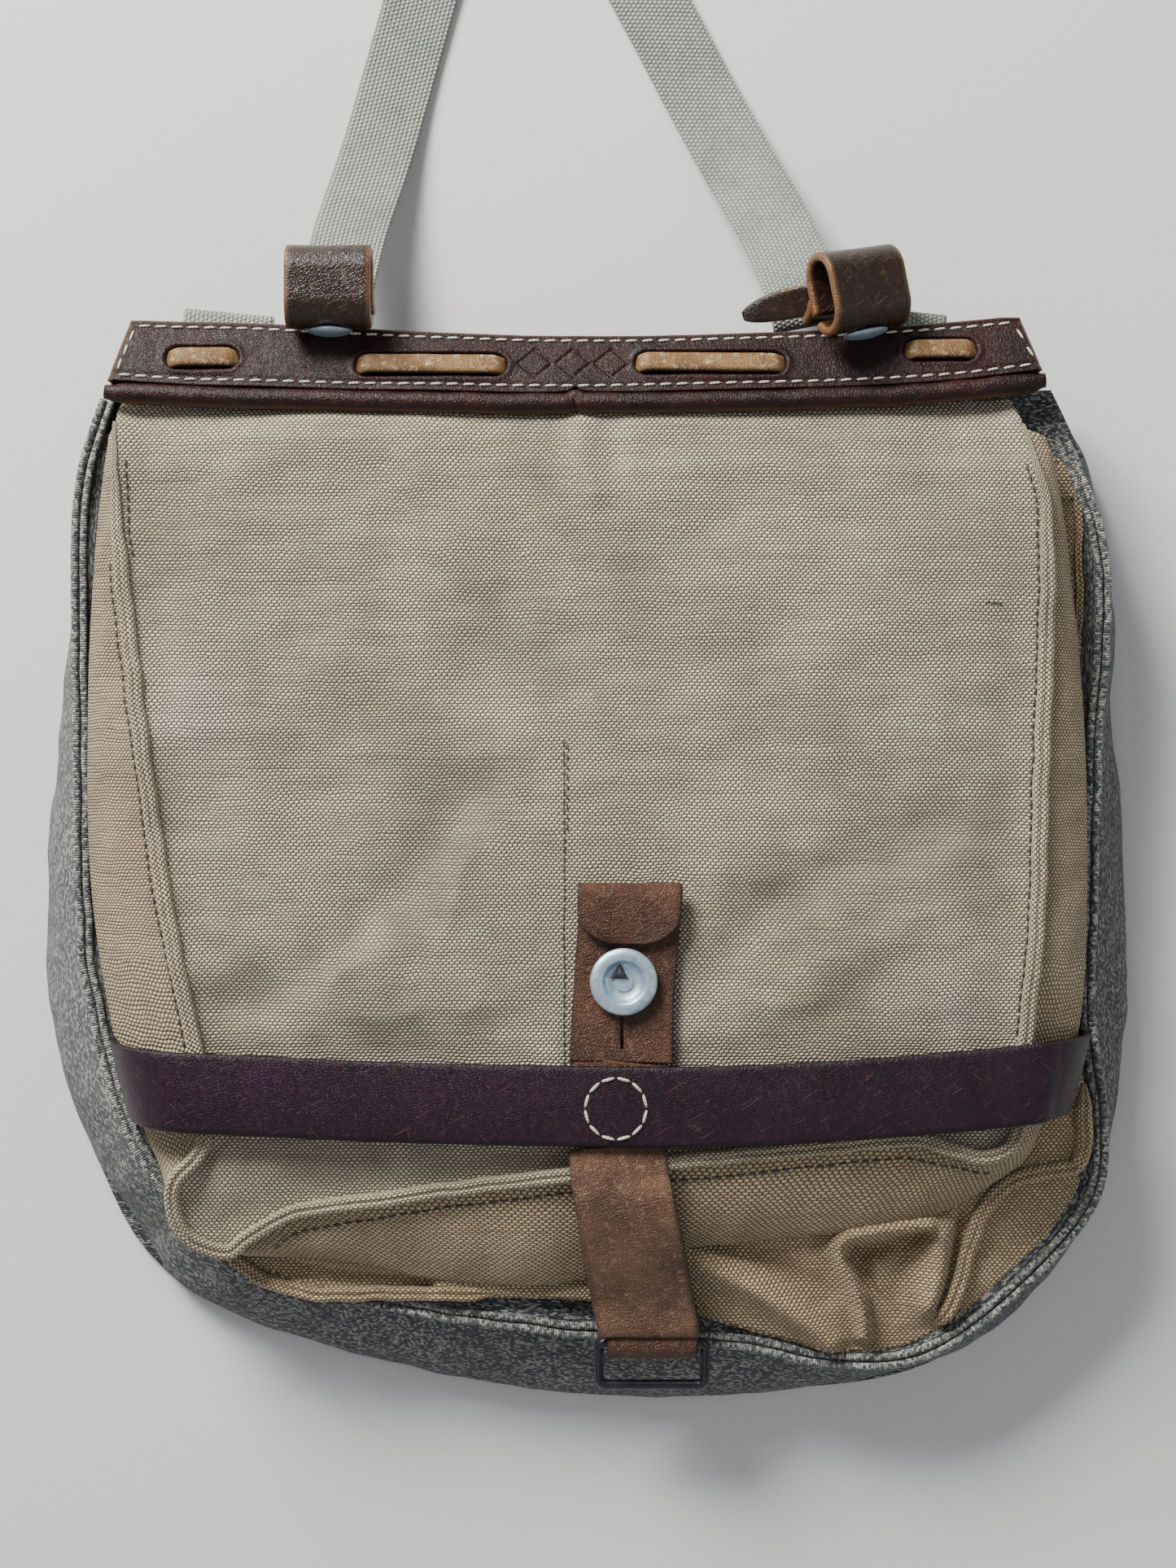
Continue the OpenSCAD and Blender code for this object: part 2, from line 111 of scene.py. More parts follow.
class Finish:
    """A material in the making: each call adds one node and gives back its output."""

    def __init__(self, name, roughness, **constants):
        self.material = bpy.data.materials.new(name)
        self.material.use_nodes = True
        self.tree = self.material.node_tree
        self.shader = self.tree.nodes["Principled BSDF"]
        self.shader.inputs["Roughness"].default_value = roughness
        for socket, value in constants.items():
            self.shader.inputs[socket.replace("_", " ")].default_value = value

    def add(self, kind, inputs, out=0, **settings):
        node = self.tree.nodes.new(kind)
        for key, value in settings.items():
            setattr(node, key, value)
        for key, value in inputs.items():
            if isinstance(value, bpy.types.NodeSocket):
                self.tree.links.new(value, node.inputs[key])
            else:
                node.inputs[key].default_value = value
        return node.outputs[out]

    def math(self, operation, *values):
        return self.add("ShaderNodeMath", dict(enumerate(values)), operation=operation)

    def plus(self, a, b):
        return self.math("ADD", a, b)

    def times(self, a, b):
        return self.math("MULTIPLY", a, b)

    def lay(self):
        """The cloth's or leather's own flat coordinates, in millimetres."""
        return self.add("ShaderNodeUVMap", {}, uv_map="lay")

    def object_mm(self):
        spot = self.add("ShaderNodeTexCoord", {}, out=3)
        return self.stretch(spot, (1000, 1000, 1000))

    def stretch(self, vector, scale):
        return self.add("ShaderNodeMapping", {0: vector, 3: scale})

    def split(self, vector):
        node = self.tree.nodes.new("ShaderNodeSeparateXYZ")
        self.tree.links.new(vector, node.inputs[0])
        return node.outputs[0], node.outputs[1]

    def join(self, x, y):
        return self.add("ShaderNodeCombineXYZ", {0: x, 1: y})

    def noise(self, vector, scale, detail=3.0, roughness=0.55):
        inputs = {"Vector": vector, "Scale": scale, "Detail": detail, "Roughness": roughness}
        return self.add("ShaderNodeTexNoise", inputs)

    def chance(self, vector):
        return self.add("ShaderNodeTexWhiteNoise", {"Vector": vector})

    def ramp(self, factor, *stops):
        node = self.tree.nodes.new("ShaderNodeValToRGB")
        self.tree.links.new(factor, node.inputs[0])
        while len(node.color_ramp.elements) < len(stops):
            node.color_ramp.elements.new(0.5)
        for element, (place, colour) in zip(node.color_ramp.elements, stops):
            element.position = place
            element.color = (*colour, 1) if isinstance(colour, tuple) else (colour, colour, colour, 1)
        return node.outputs[0]

    def mix(self, factor, a, b, blend="MIX"):
        sockets = {0: factor, 6: a, 7: b}
        whole = {k: (*v, 1) if isinstance(v, tuple) and len(v) == 3 else v for k, v in sockets.items()}
        return self.add("ShaderNodeMix", whole, out=2, data_type="RGBA", blend_type=blend)

    def mark(self, name):
        """A value painted on the piece's points."""
        return self.add("ShaderNodeAttribute", {}, out=2, attribute_name=name)

    def finish(self, colour, height=None, depth=0.0003, roughness=None):
        self.tree.links.new(colour, self.shader.inputs["Base Color"])
        if roughness is not None:
            self.tree.links.new(roughness, self.shader.inputs["Roughness"])
        if height is not None:
            bump = self.add("ShaderNodeBump", {"Height": height, "Distance": depth, "Strength": 1.0})
            self.tree.links.new(bump, self.shader.inputs["Normal"])
        return self.material


floor_paint = Finish("floor_paint", 0.75)
floor_grain = floor_paint.noise(floor_paint.object_mm(), 0.6)
floor_paint.finish(floor_paint.ramp(floor_grain, (0.3, (0.70, 0.70, 0.69)), (0.7, (0.74, 0.74, 0.73))))
bpy.ops.mesh.primitive_plane_add(size=6, location=(0, 0, -0.0004))
floor = bpy.context.object
floor.name = "floor"
floor.data.materials.append(floor_paint.material)
floor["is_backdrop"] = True


# ---- The shoulder strap ------------------------------------------------------------------------
# Cotton webbing, 24 mm wide, sewn behind the bar at both ends and crossed beyond the bag.
# It is one flat band swept along its route, which lies on the floor past the loops.
def flowing(points, steps):
    """Points on a smooth curve through the given ones."""
    p = np.array([points[0], *points, points[-1]], float)
    t = np.linspace(0, 1, steps, endpoint=False)[:, None]
    runs = [
        0.5 * (2 * b + (c - a) * t + (2 * a - 5 * b + 4 * c - d) * t**2 + (3 * b - a - 3 * c + d) * t**3)
        for a, b, c, d in zip(p, p[1:], p[2:], p[3:])
    ]
    return np.vstack([*runs, p[-1:]])


def lengths(line):
    return np.concatenate([[0], np.cumsum(np.linalg.norm(np.diff(line, axis=0), axis=1))])


def evenly(line, count):
    """The same line as a number of evenly spaced points."""
    s = lengths(line)
    at = np.linspace(0, s[-1], count)
    return np.stack([np.interp(at, s, line[:, k]) for k in range(line.shape[1])], 1)


def mesh_piece(name, points, faces, lay, marks=None):
    """A mesh in millimetres as an object in metres, with its flat coordinates and painted values."""
    mesh = bpy.data.meshes.new(name)
    mesh.from_pydata((np.asarray(points) * MM).tolist(), [], faces)
    layer = mesh.uv_layers.new(name="lay")
    corner = np.zeros(len(mesh.loops), int)
    mesh.loops.foreach_get("vertex_index", corner)
    lay = np.asarray(lay, np.float32)
    layer.data.foreach_set("uv", (lay if len(lay) == len(corner) else lay[corner]).ravel())
    for key, values in (marks or {}).items():
        mesh.attributes.new(key, "FLOAT", "POINT").data.foreach_set("value", np.asarray(values, np.float32))
    mesh.polygons.foreach_set("use_smooth", np.ones(len(mesh.polygons), bool))
    mesh.update()
    piece = bpy.data.objects.new(name, mesh)
    scene.collection.objects.link(piece)
    return piece


def outward(piece):
    deselect()
    bpy.context.view_layer.objects.active = piece
    piece.select_set(True)
    bpy.ops.object.mode_set(mode="EDIT")
    bpy.ops.mesh.select_all(action="SELECT")
    bpy.ops.mesh.normals_make_consistent(inside=False)
    bpy.ops.object.mode_set(mode="OBJECT")
    return piece


def band_section(width, thick, crown=0.0, across=10, rounding=0.8):
    """A closed flat section, [(across, up)], with rounded edges and an optional crown."""
    half = width / 2
    round_r = min(thick / 2, rounding)
    a = np.linspace(-half + round_r, half - round_r, across)
    lift = crown * (1 - (a / half) ** 2)
    turn = np.linspace(-math.pi / 2, math.pi / 2, 6)[1:-1]
    right = np.stack([half - round_r + round_r * np.cos(turn), thick / 2 * np.sin(turn)], 1)
    top = np.stack([a[::-1], thick / 2 + lift[::-1]], 1)
    left = np.stack([-right[::-1, 0], right[::-1, 1]], 1)
    return np.vstack([np.stack([a, -thick / 2 + lift], 1), right, top, left])


def swept(name, line, side, section, closed=False, shape=None):
    """One solid: a section carried along a line, its width lying along the side directions."""
    count, ring = len(line), len(section)
    ahead = np.gradient(line, axis=0) if not closed else np.roll(line, -1, 0) - np.roll(line, 1, 0)
    ahead /= np.linalg.norm(ahead, axis=1)[:, None]
    side = np.broadcast_to(side, line.shape).astype(float)
    side = side - ahead * np.sum(side * ahead, 1)[:, None]
    side /= np.linalg.norm(side, axis=1)[:, None]
    up = np.cross(side, ahead)
    rings = np.broadcast_to(section, (count, ring, 2)) if shape is None else shape(section, count)
    points = line[:, None] + side[:, None] * rings[..., :1] + up[:, None] * rings[..., 1:]
    around = lengths(np.vstack([section, section[:1]]))
    along = lengths(np.vstack([line, line[:1]]) if closed else line)
    faces, lay = [], []
    for i in range(count if closed else count - 1):
        j = (i + 1) % count
        for k in range(ring):
            m = (k + 1) % ring
            faces.append((i * ring + k, i * ring + m, j * ring + m, j * ring + k))
            lay += [(along[i], around[k]), (along[i], around[k + 1]), (along[i + 1], around[k + 1]),
                    (along[i + 1], around[k])]
    if not closed:
        for start, way in ((0, -1), ((count - 1) * ring, 1)):
            faces.append(tuple(range(start, start + ring))[::way])
            lay += [(along[0 if way < 0 else -1], around[k]) for k in range(ring)][::way]
    edge = np.abs(rings[..., 0]) / np.abs(section[:, 0]).max()
    piece = mesh_piece(name, points.reshape(-1, 3), faces, lay, {"edge": edge.ravel()})
    return outward(piece)


def dress(piece, material, body, slot, *nodes):
    piece.data.materials.append(material)
    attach(piece, body)
    if nodes:
        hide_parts(*nodes)
    return piece


def webbing_finish(name, light, dark):
    f = Finish(name, 0.85, Sheen_Weight=0.25, Sheen_Roughness=0.5)
    rib_wide, knot_long = 1.35, 1.5
    x, y = f.split(f.lay())
    row = f.math("FLOOR", f.math("DIVIDE", y, rib_wide))
    slant = f.plus(f.math("DIVIDE", x, knot_long), f.times(row, 0.5))
    rib = f.math("ABSOLUTE", f.math("SINE", f.times(y, math.pi / rib_wide)))
    knot = f.math("MULTIPLY_ADD", f.math("SINE", f.times(slant, 2 * math.pi)), 0.5, 0.5)
    weave = f.times(f.math("POWER", rib, 0.9), f.math("MULTIPLY_ADD", knot, 0.75, 0.25))
    soil = f.noise(f.lay(), 0.05, 4)
    thread = f.chance(f.join(f.math("FLOOR", slant), row))
    # Painted shade: the weave's grooves take the dark colour where the ribs and knots dip.
    colour = f.mix(weave, dark, light)
    colour = f.mix(f.ramp(soil, (0.45, 0.0), (0.75, 0.55)), colour, dark)
    colour = f.mix(f.times(thread, 0.16), colour, (0.62, 0.62, 0.56))
    return f.finish(colour, weave, 0.0006)


webbing_cotton = webbing_finish("webbing_cotton", (0.52, 0.54, 0.46), (0.12, 0.135, 0.115))
strap_wide, strap_thick = 24, 2.2
strap_route = [(-82, 171, 32.5), (-80.5, 182, 30), (-76.5, 205, 17), (-69.5, 230, 6), (-62, 258, 1.6),
    (-48, 308, 1.4), (-33, 362, 1.4), (-12, 408, 1.4), (22, 450, 1.4), (46, 480, 1.4), (44, 512, 1.4),
    (12, 532, 1.4), (-34, 528, 1.4), (-64, 502, 1.4), (-72, 466, 1.8), (-58, 424, 3.2), (-33, 381, 4.4),
    (-13, 345, 4.2), (5, 311, 2.4), (24, 276, 1.6), (37.5, 250, 2.4), (49, 228, 7), (60, 206, 17),
    (68, 184, 29), (71, 171, 32.5)]
strap_line = evenly(flowing(strap_route, 8), 220)
strap_ahead = np.gradient(strap_line, axis=0)
strap_side = np.stack([strap_ahead[:, 1], -strap_ahead[:, 0], np.zeros(len(strap_line))], 1)
shoulder = swept("shoulder_webbing", strap_line, strap_side, band_section(strap_wide, strap_thick, 0, 14, 1.1))
dress(shoulder, webbing_cotton, "bag", "webbing", "shoulder_strap")

# The webbing's ends turn outwards behind the bar and stand a little above its upper edge
for side in ("left", "right"):
    low, high = (np.array(c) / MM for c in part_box(f"webbing_tab_{side}"))
    middle = (low + high) / 2
    line = np.array([[middle[0], low[1] + 3, high[2] - 2], middle, [middle[0], high[1], low[2] + 1.6]])
    line = evenly(line, 16)
    line[:, 0] += 0.5 * np.sin(line[:, 1] / 4)
    section = band_section(high[0] - low[0], strap_thick, 0, 16, 1.1)
    dress(swept(f"webbing_end_{side}", line, (1, 0, 0), section), webbing_cotton, "bag", "webbing",
        f"webbing_tab_{side}")


# ---- The grey back bag ---------------------------------------------------------------------------
# Salt and pepper wool and cotton cloth: a flat back, a gusset that leans in around the sides and
# bottom, and a doubled rim where it was turned and sewn. The back rises behind the leather bar.
def pepper_finish(name, dark, middle, light, pitch=0.58, ribbed=False):
    """Flecked twill: short dark, middling and light yarns in rows, or in ribs across a turned edge, with painted
    shade in the grooves between the rows.
    """
    f = Finish(name, 0.92, Sheen_Weight=0.15, Sheen_Roughness=0.6)
    lay = f.lay()
    wander = f.noise(lay, 0.35, 2)
    x, y = f.split(lay)[::-1] if ribbed else f.split(lay)
    y = f.plus(y, f.times(wander, 0.8))
    yarn_long, step = 1.05, 0.37
    row = f.math("FLOOR", f.math("DIVIDE", y, pitch))
    along = f.plus(f.math("DIVIDE", x, yarn_long), f.times(row, step))
    yarn = f.chance(f.join(f.math("FLOOR", along), row))
    flecks = f.noise(f.stretch(lay, (1.1, 1.9, 1)), 1.0, 2, 0.7)
    pick = f.plus(f.times(yarn, 0.6), f.times(flecks, 0.5))
    colour = f.ramp(pick, (0.30, dark), (0.58, middle), (0.86, light))
    body = f.math("ABSOLUTE", f.math("SINE", f.times(y, math.pi / pitch)))
    lump = f.plus(f.times(body, 0.7), f.times(pick, 0.8))
    # Painted shade: the grooves between the yarn rows are pulled towards the dark colour.
    colour = f.mix(f.ramp(body, (0.0, 0.65), (0.5, 0.0)), colour, dark)
    colour = f.mix(f.ramp(f.noise(lay, 0.03, 3), (0.35, 0.0), (0.8, 0.4)), colour, (0.05, 0.055, 0.062))
    return f.finish(colour, lump, 0.0003)


grey_cloth = pepper_finish("salt_and_pepper_cloth", (0.012, 0.015, 0.023), (0.075, 0.08, 0.083),
    (0.44, 0.44, 0.39))
rim_cloth = pepper_finish("ribbed_rim_cloth", (0.035, 0.038, 0.042), (0.20, 0.205, 0.19), (0.54, 0.54, 0.47), 0.8,
    True)


def ripple(x, y, size, seed):
    """Gentle unevenness from -1 to 1 that changes over about the given number of millimetres."""
    x, y = np.broadcast_arrays(np.asarray(x, float), np.asarray(y, float))
    flat = [noise.noise(Vector((a / size, b / size, seed))) for a, b in zip(x.ravel(), y.ravel())]
    return np.array(flat).reshape(x.shape) * 1.6


def laid(name, across, down, place, lay=None, thick=0.0, marks=None):
    """A piece of cloth: a flat grid laid into its shape, and given its thickness inwards."""
    u, v = np.meshgrid(np.linspace(0, 1, across), np.linspace(0, 1, down))
    points = place(u, v)
    spread = np.stack(lay(u, v, points) if lay else points[:2], -1).reshape(-1, 2)
    k = np.arange(across * down).reshape(down, across)
    quads = np.stack([k[:-1, :-1], k[:-1, 1:], k[1:, 1:], k[1:, :-1]], -1).reshape(-1, 4)
    flat = np.stack(np.broadcast_arrays(*points), -1).reshape(-1, 3)
    facing = np.cross(flat[quads[:, 2]] - flat[quads[:, 0]], flat[quads[:, 3]] - flat[quads[:, 1]])
    if np.sum(facing * (flat[quads[:, 0]] - (0, 0, 22))) < 0:
        quads = quads[:, ::-1]
    painted = {key: np.broadcast_to(value(u, v, points), u.shape).ravel() for key, value in (marks or {}).items()}
    piece = mesh_piece(name, flat, quads.tolist(), spread, painted)
    if thick:
        deselect()
        bpy.context.view_layer.objects.active = piece
        solid = piece.modifiers.new("thickness", "SOLIDIFY")
        solid.thickness = thick * MM
        solid.offset = -1
        bpy.ops.object.modifier_apply(modifier=solid.name)
    return piece


# Where the gusset meets the floor and where its rim stands, hand over hand: foot x, y, rim x, y
gusset_course = flowing([(-151, 150, -153, 147), (-163, 118, -161, 118), (-168, 78, -162, 76),
    (-173, 38, -161.5, 38), (-177, -8, -161, -5), (-177, -40, -159, -35), (-172, -68, -153, -62),
    (-163, -94, -145, -87), (-148, -118, -132, -106), (-129, -142, -110, -130), (-86, -159, -76, -138),
    (-33, -171, -37, -145), (12, -176, 6, -150), (61, -174, 48, -153), (96, -168, 80, -159),
    (122, -160, 108, -156), (149, -136, 136, -136), (166, -106, 160, -108), (171, -78, 163, -80),
    (176, -45, 159, -48), (175.5, 5, 160, -5), (171, 50, 161.5, 42), (171, 75, 164, 72),
    (168, 108, 163, 100), (160, 134, 153, 130), (147, 150, 141, 147)], 12)
gusset_s = lengths(gusset_course[:, :2])
gusset_long = gusset_s[-1]


def gusset_at(u, k):
    return np.interp(u * gusset_long, gusset_s, gusset_course[:, k])


def rim_height(u):
    return 32.4 + 0.7 * ripple(u * 12, 0 * u, 1, 3) - 2.4 * np.exp(-(((u - 0.5) / 0.2) ** 2))


def gusset_place(u, v):
    foot_x, foot_y, rim_x, rim_y = (gusset_at(u, k) for k in range(4))
    lean = v**1.7
    sag = 1.3 * ripple(u * gusset_long, v * 30, 26, 1) + 0.6 * ripple(u * gusset_long, v * 20, 9, 2)
    bow = np.sin(math.pi * v) ** 0.8
    out_x, out_y = foot_x - rim_x, foot_y - rim_y
    size = np.hypot(out_x, out_y) + 1e-6
    push = (sag * bow + 1.2 * bow) / np.maximum(size, 9)
    x = foot_x + (rim_x - foot_x) * lean + out_x * push
    y = foot_y + (rim_y - foot_y) * lean + out_y * push
    return x, y, 0.9 + (rim_height(u) - 1.6) * v + 0 * u


dress(laid("gusset_cloth", 420, 22, gusset_place, lambda u, v, p: (u * gusset_long, v * 42), 1.4),
    grey_cloth, "bag", "grey_cloth", "gusset")


def back_place(u, v):
    foot = flowing([(-151, 148), (-163, 118), (-173, 38), (-177, -35), (-163, -94), (-129, -142),
        (-33, -171), (61, -174), (122, -160), (166, -106), (176, -45), (171, 50), (168, 108), (147, 148)], 14)
    half = len(foot) // 2
    left, right = evenly(foot[: half + 1], 60), evenly(foot[half:][::-1], 60)
    at = np.linspace(0, 1, 60)
    lx, ly = np.interp(v, at, left[:, 0]), np.interp(v, at, left[:, 1])
    rx, ry = np.interp(v, at, right[:, 0]), np.interp(v, at, right[:, 1])
    return lx + (rx - lx) * u, ly + (ry - ly) * u, 0.06 + 0 * u


dress(laid("back_cloth", 60, 60, back_place, None, 1.3), grey_cloth, "bag", "grey_cloth", "back_panel")


def rise_place(u, v):
    profile = flowing([(126, 0.3), (140, 1.4), (152, 8), (159, 19), (161, 36)], 8)
    s = lengths(profile) / lengths(profile)[-1]
    y, z = np.interp(v, s, profile[:, 0]), np.interp(v, s, profile[:, 1])
    x = -148 + 289 * u + (1 - v) * (u - 0.5) * 20
    return x, y + 0.8 * ripple(x, v * 40, 30, 5) * v, z


dress(laid("back_rise", 120, 26, rise_place, lambda u, v, p: (u * 290, v * 58), 1.3),
    grey_cloth, "bag", "grey_cloth")

# The rim is two cords of turned cloth side by side, with the stitching sunk between them
rim_u = np.linspace(0, 1, 520)
rim_wave = 0.35 * ripple(rim_u * gusset_long, 0 * rim_u, 14, 8)
rim_line = np.stack([gusset_at(rim_u, 2) + rim_wave, gusset_at(rim_u, 3) + rim_wave, rim_height(rim_u) + 0.6], 1)
rim_ahead = np.gradient(rim_line, axis=0)
rim_side = np.stack([rim_ahead[:, 1], -rim_ahead[:, 0], 0 * rim_u], 1)
turn = np.linspace(-0.25 * math.pi, 1.05 * math.pi, 10)
right_cord = np.stack([1.42 + 1.18 * np.cos(turn), 0.5 + 1.35 * np.sin(turn)], 1)
left_cord = np.stack([-right_cord[::-1, 0], right_cord[::-1, 1]], 1)
rim_section = np.vstack([right_cord, [(0, -0.9)], left_cord, [(-1.8, -2.4), (1.8, -2.4)]])
rim = swept("rim_cords", rim_line, rim_side, rim_section)
dress(rim, rim_cloth, "bag", "grey_cloth", "gusset_rim")


def turned_in(u, v):
    """The gusset's own edge, turned in flat beside the rim along the bottom and up the right side."""
    along = 0.012 + 0.976 * u
    x, y = gusset_at(along, 2), gusset_at(along, 3)
    ahead_x = gusset_at(along + 0.004, 2) - gusset_at(along - 0.004, 2)
    ahead_y = gusset_at(along + 0.004, 3) - gusset_at(along - 0.004, 3)
    broad = np.interp(along, [0, 0.34, 0.40, 0.62, 0.70, 0.80, 0.86, 1], [6, 6, 12, 12, 13, 12, 6, 6])
    width = 1.5 + broad * v
    size = np.hypot(ahead_x, ahead_y)
    sink = rim_height(along) - 0.2 - 2.4 * v + 0.6 * ripple(u * 710, v * 9, 14, 6)
    return x - ahead_y / size * width, y + ahead_x / size * width, sink


dress(laid("gusset_turning", 420, 10, turned_in, lambda u, v, p: (u * 710, v * 13), 1.0), grey_cloth, "bag",
    "grey_cloth")


def shoulder_place(u, v):
    """The grey corner between the bar's right end and the pouch's mouth."""
    x = (122 + 25 * u) * (1 - v) + (143 + 15 * u) * v
    y = (149 + 1 * u) * (1 - v) + (128 + 1 * u) * v
    return x, y, 37.5 - 4.0 * v - 1.5 * u + 0.7 * ripple(x, y, 12, 7)


dress(laid("gusset_corner_right", 24, 24, shoulder_place, None, 1.0), grey_cloth, "bag", "grey_cloth")


def running_stitch(name, line, lift, long, thick, gap, material, body, up=(0, 0, 1), lean=0.0):
    """A row of small round-ended stitches along a line, one grain of thread each."""
    s = lengths(line)
    count = max(1, int(s[-1] / gap))
    starts = (np.arange(count) + 0.5) * s[-1] / count
    rings = [(-0.5, 0.25), (-0.36, 0.85), (0, 1), (0.36, 0.85), (0.5, 0.25)]
    up = np.array(up, float)
    points, faces, lay = [], [], []
    for middle in starts:
        here = np.array([np.interp(middle, s, line[:, k]) for k in range(3)])
        ahead = np.array([np.interp(middle + 1, s, line[:, k]) - np.interp(middle - 1, s, line[:, k])
            for k in range(3)])
        ahead /= np.linalg.norm(ahead)
        side = np.cross(up, ahead)
        side /= np.linalg.norm(side)
        ahead = ahead * math.cos(lean) + side * math.sin(lean)
        side = np.cross(up, ahead)
        base = len(points)
        for along, fat in rings:
            for k in range(6):
                a = k * math.pi / 3
                points.append(here + ahead * along * long + side * fat * thick / 2 * math.cos(a)
                    + up * (lift + fat * thick / 2 * math.sin(a) - 0.25 * thick * abs(along)))
                lay.append((along * long * 3, k))
        for r in range(len(rings) - 1):
            for k in range(6):
                m = (k + 1) % 6
                faces.append((base + r * 6 + k, base + r * 6 + m, base + r * 6 + 6 + m, base + r * 6 + 6 + k))
        faces.append(tuple(base + k for k in range(5, -1, -1)))
        faces.append(tuple(base + (len(rings) - 1) * 6 + k for k in range(6)))
    return dress(outward(mesh_piece(name, points, faces, lay)), material, body, "thread")


def thread_finish(name, light, dark):
    f = Finish(name, 0.6)
    x, y = f.split(f.lay())
    twist = f.math("SINE", f.plus(f.times(x, 2.0), f.times(y, 1.05)))
    twist = f.math("MULTIPLY_ADD", twist, 0.5, 0.5)
    # Painted shade: the grooves between the turns of the twist take the dark colour.
    return f.finish(f.mix(twist, dark, light), twist, 0.0001)


white_thread = thread_finish("white_waxed_thread", (0.80, 0.76, 0.64), (0.42, 0.38, 0.30))
dark_thread = thread_finish("dark_thread", (0.10, 0.085, 0.075), (0.03, 0.026, 0.026))
pale_thread = thread_finish("pale_thread", (0.62, 0.62, 0.58), (0.30, 0.30, 0.29))


for row_name, start, end, part in (("left", 0.40, 0.53, 0.5), ("right", 0.66, 0.80, 0.42)):
    u = np.linspace(start, end, 120)
    row = np.stack(turned_in(u, np.full_like(u, part)), 1)
    running_stitch(f"gusset_stitches_{row_name}", row, 0.25, 2.7, 0.6, 4.3, pale_thread, "bag")


# ---- The tan pouch --------------------------------------------------------------------------------
# Heavy cotton canvas, still golden where the flap kept the sun off: a soft front with a hemmed
# mouth, side walls down to the back, a pinched seam around the bottom and slack folds at the right.
def canvas_finish(name, knot_light, knot_dark, gap, sun, soil):
    """Plain-woven canvas: staggered knots with painted shade in the gaps between them, slubs, and faded or soiled
    places.
    """
    f = Finish(name, 0.9, Sheen_Weight=0.2, Sheen_Roughness=0.55)
    knot_long, row_high = 1.62, 0.96
    lay = f.lay()
    wander = f.noise(lay, 0.09, 2)
    x, y = f.split(lay)
    y = f.plus(y, f.times(wander, 2.2))
    x = f.plus(x, f.times(f.noise(lay, 0.11, 2), 1.6))
    rows = f.math("DIVIDE", y, row_high)
    row = f.math("FLOOR", rows)
    along = f.plus(f.math("DIVIDE", x, knot_long), f.times(row, 0.5))
    bump_x = f.math("MULTIPLY_ADD", f.math("COSINE", f.times(along, 2 * math.pi)), 0.5, 0.5)
    bump_y = f.math("ABSOLUTE", f.math("SINE", f.times(rows, math.pi)))
    knot = f.math("POWER", f.times(bump_x, bump_y), 0.55)
    luck = f.chance(f.join(f.math("FLOOR", f.plus(along, 0.5)), row))
    slub = f.noise(f.stretch(lay, (0.026, 0.95, 1)), 1.0, 3, 0.6)
    line = f.ramp(slub, (0.60, 0.0), (0.70, 1.0))
    cloud = f.noise(lay, 0.016, 4, 0.6)
    colour = f.mix(luck, knot_dark, knot_light)
    colour = f.mix(f.times(f.mark("sun"), 0.85), colour, sun)
    colour = f.mix(f.ramp(cloud, (0.42, 0.0), (0.72, 0.5)), colour, soil)
    # The soil mark is soiling, and on the flap it also holds painted shade in the dents and beside the cross strap.
    colour = f.mix(f.times(f.mark("soil"), 0.8), colour, soil)
    colour = f.mix(f.times(line, 0.4), colour, gap)
    # Painted shade: the gaps between the knots take the gap colour, following the knots' height.
    colour = f.mix(f.ramp(knot, (0.2, 1.0), (0.68, 0.0)), colour, gap)
    height = f.plus(knot, f.times(slub, 0.9))
    return f.finish(colour, height, 0.0008)


golden_canvas = canvas_finish("golden_canvas", (0.90, 0.69, 0.40), (0.60, 0.43, 0.22),
    (0.13, 0.078, 0.032), (0.84, 0.70, 0.46), (0.22, 0.145, 0.07))
faded_canvas = canvas_finish("faded_canvas", (0.94, 0.80, 0.54), (0.68, 0.55, 0.35),
    (0.125, 0.092, 0.056), (0.97, 0.91, 0.72), (0.19, 0.145, 0.098))


def folds(x, y, *rows):
    """Soft folds, each (height, half width, points): the cloth rises along them, or falls if below 0."""
    total = 0
    for high, wide, *course in rows:
        line = evenly(flowing(course, 8), 60)
        gap = np.min(np.hypot(x[..., None] - line[:, 0], y[..., None] - line[:, 1]), axis=-1)
        total = total + high * np.exp(-((gap / wide) ** 2))
    return total


def patch(left, right, top, bottom):
    """Fills four edge courses with an even net: gives x, y for u across and v down."""
    edges = [evenly(flowing(c, 10), 80) for c in (left, right, top, bottom)]
    at = np.linspace(0, 1, 80)
    le, ri, to, bo = edges

    def place(u, v):
        parts = []
        for k in (0, 1):
            l, r = np.interp(v, at, le[:, k]), np.interp(v, at, ri[:, k])
            t, b = np.interp(u, at, to[:, k]), np.interp(u, at, bo[:, k])
            corners = ((1 - u) * (1 - v) * to[0, k] + u * (1 - v) * to[-1, k] + (1 - u) * v * bo[0, k]
                + u * v * bo[-1, k])
            parts.append((1 - u) * l + u * r + (1 - v) * t + v * b - corners)
        return parts

    return place


pouch_left = [(-144, 127), (-148, 90), (-150, 40), (-151, -10), (-148, -50), (-140, -84), (-128, -102), (-113, -124)]
pouch_right = [(156, 130.5), (156.8, 100), (156.3, 60), (155, 20), (154.5, -20), (155, -55), (158, -88),
    (150, -114), (119, -144)]
pouch_top = [(-144, 127), (-70, 120), (0, 118), (80, 121), (156, 130.5)]
pouch_bottom = [(-113, -124), (-90, -135), (-50, -137.5), (0, -139), (34, -144), (60, -151), (80, -155.5),
    (100, -154), (119, -144)]
pouch_net = patch(pouch_left, pouch_right, pouch_top, pouch_bottom)


# The folds go no lower than the gusset's turned-in edge, which lies inside
inside_floor = 31.8


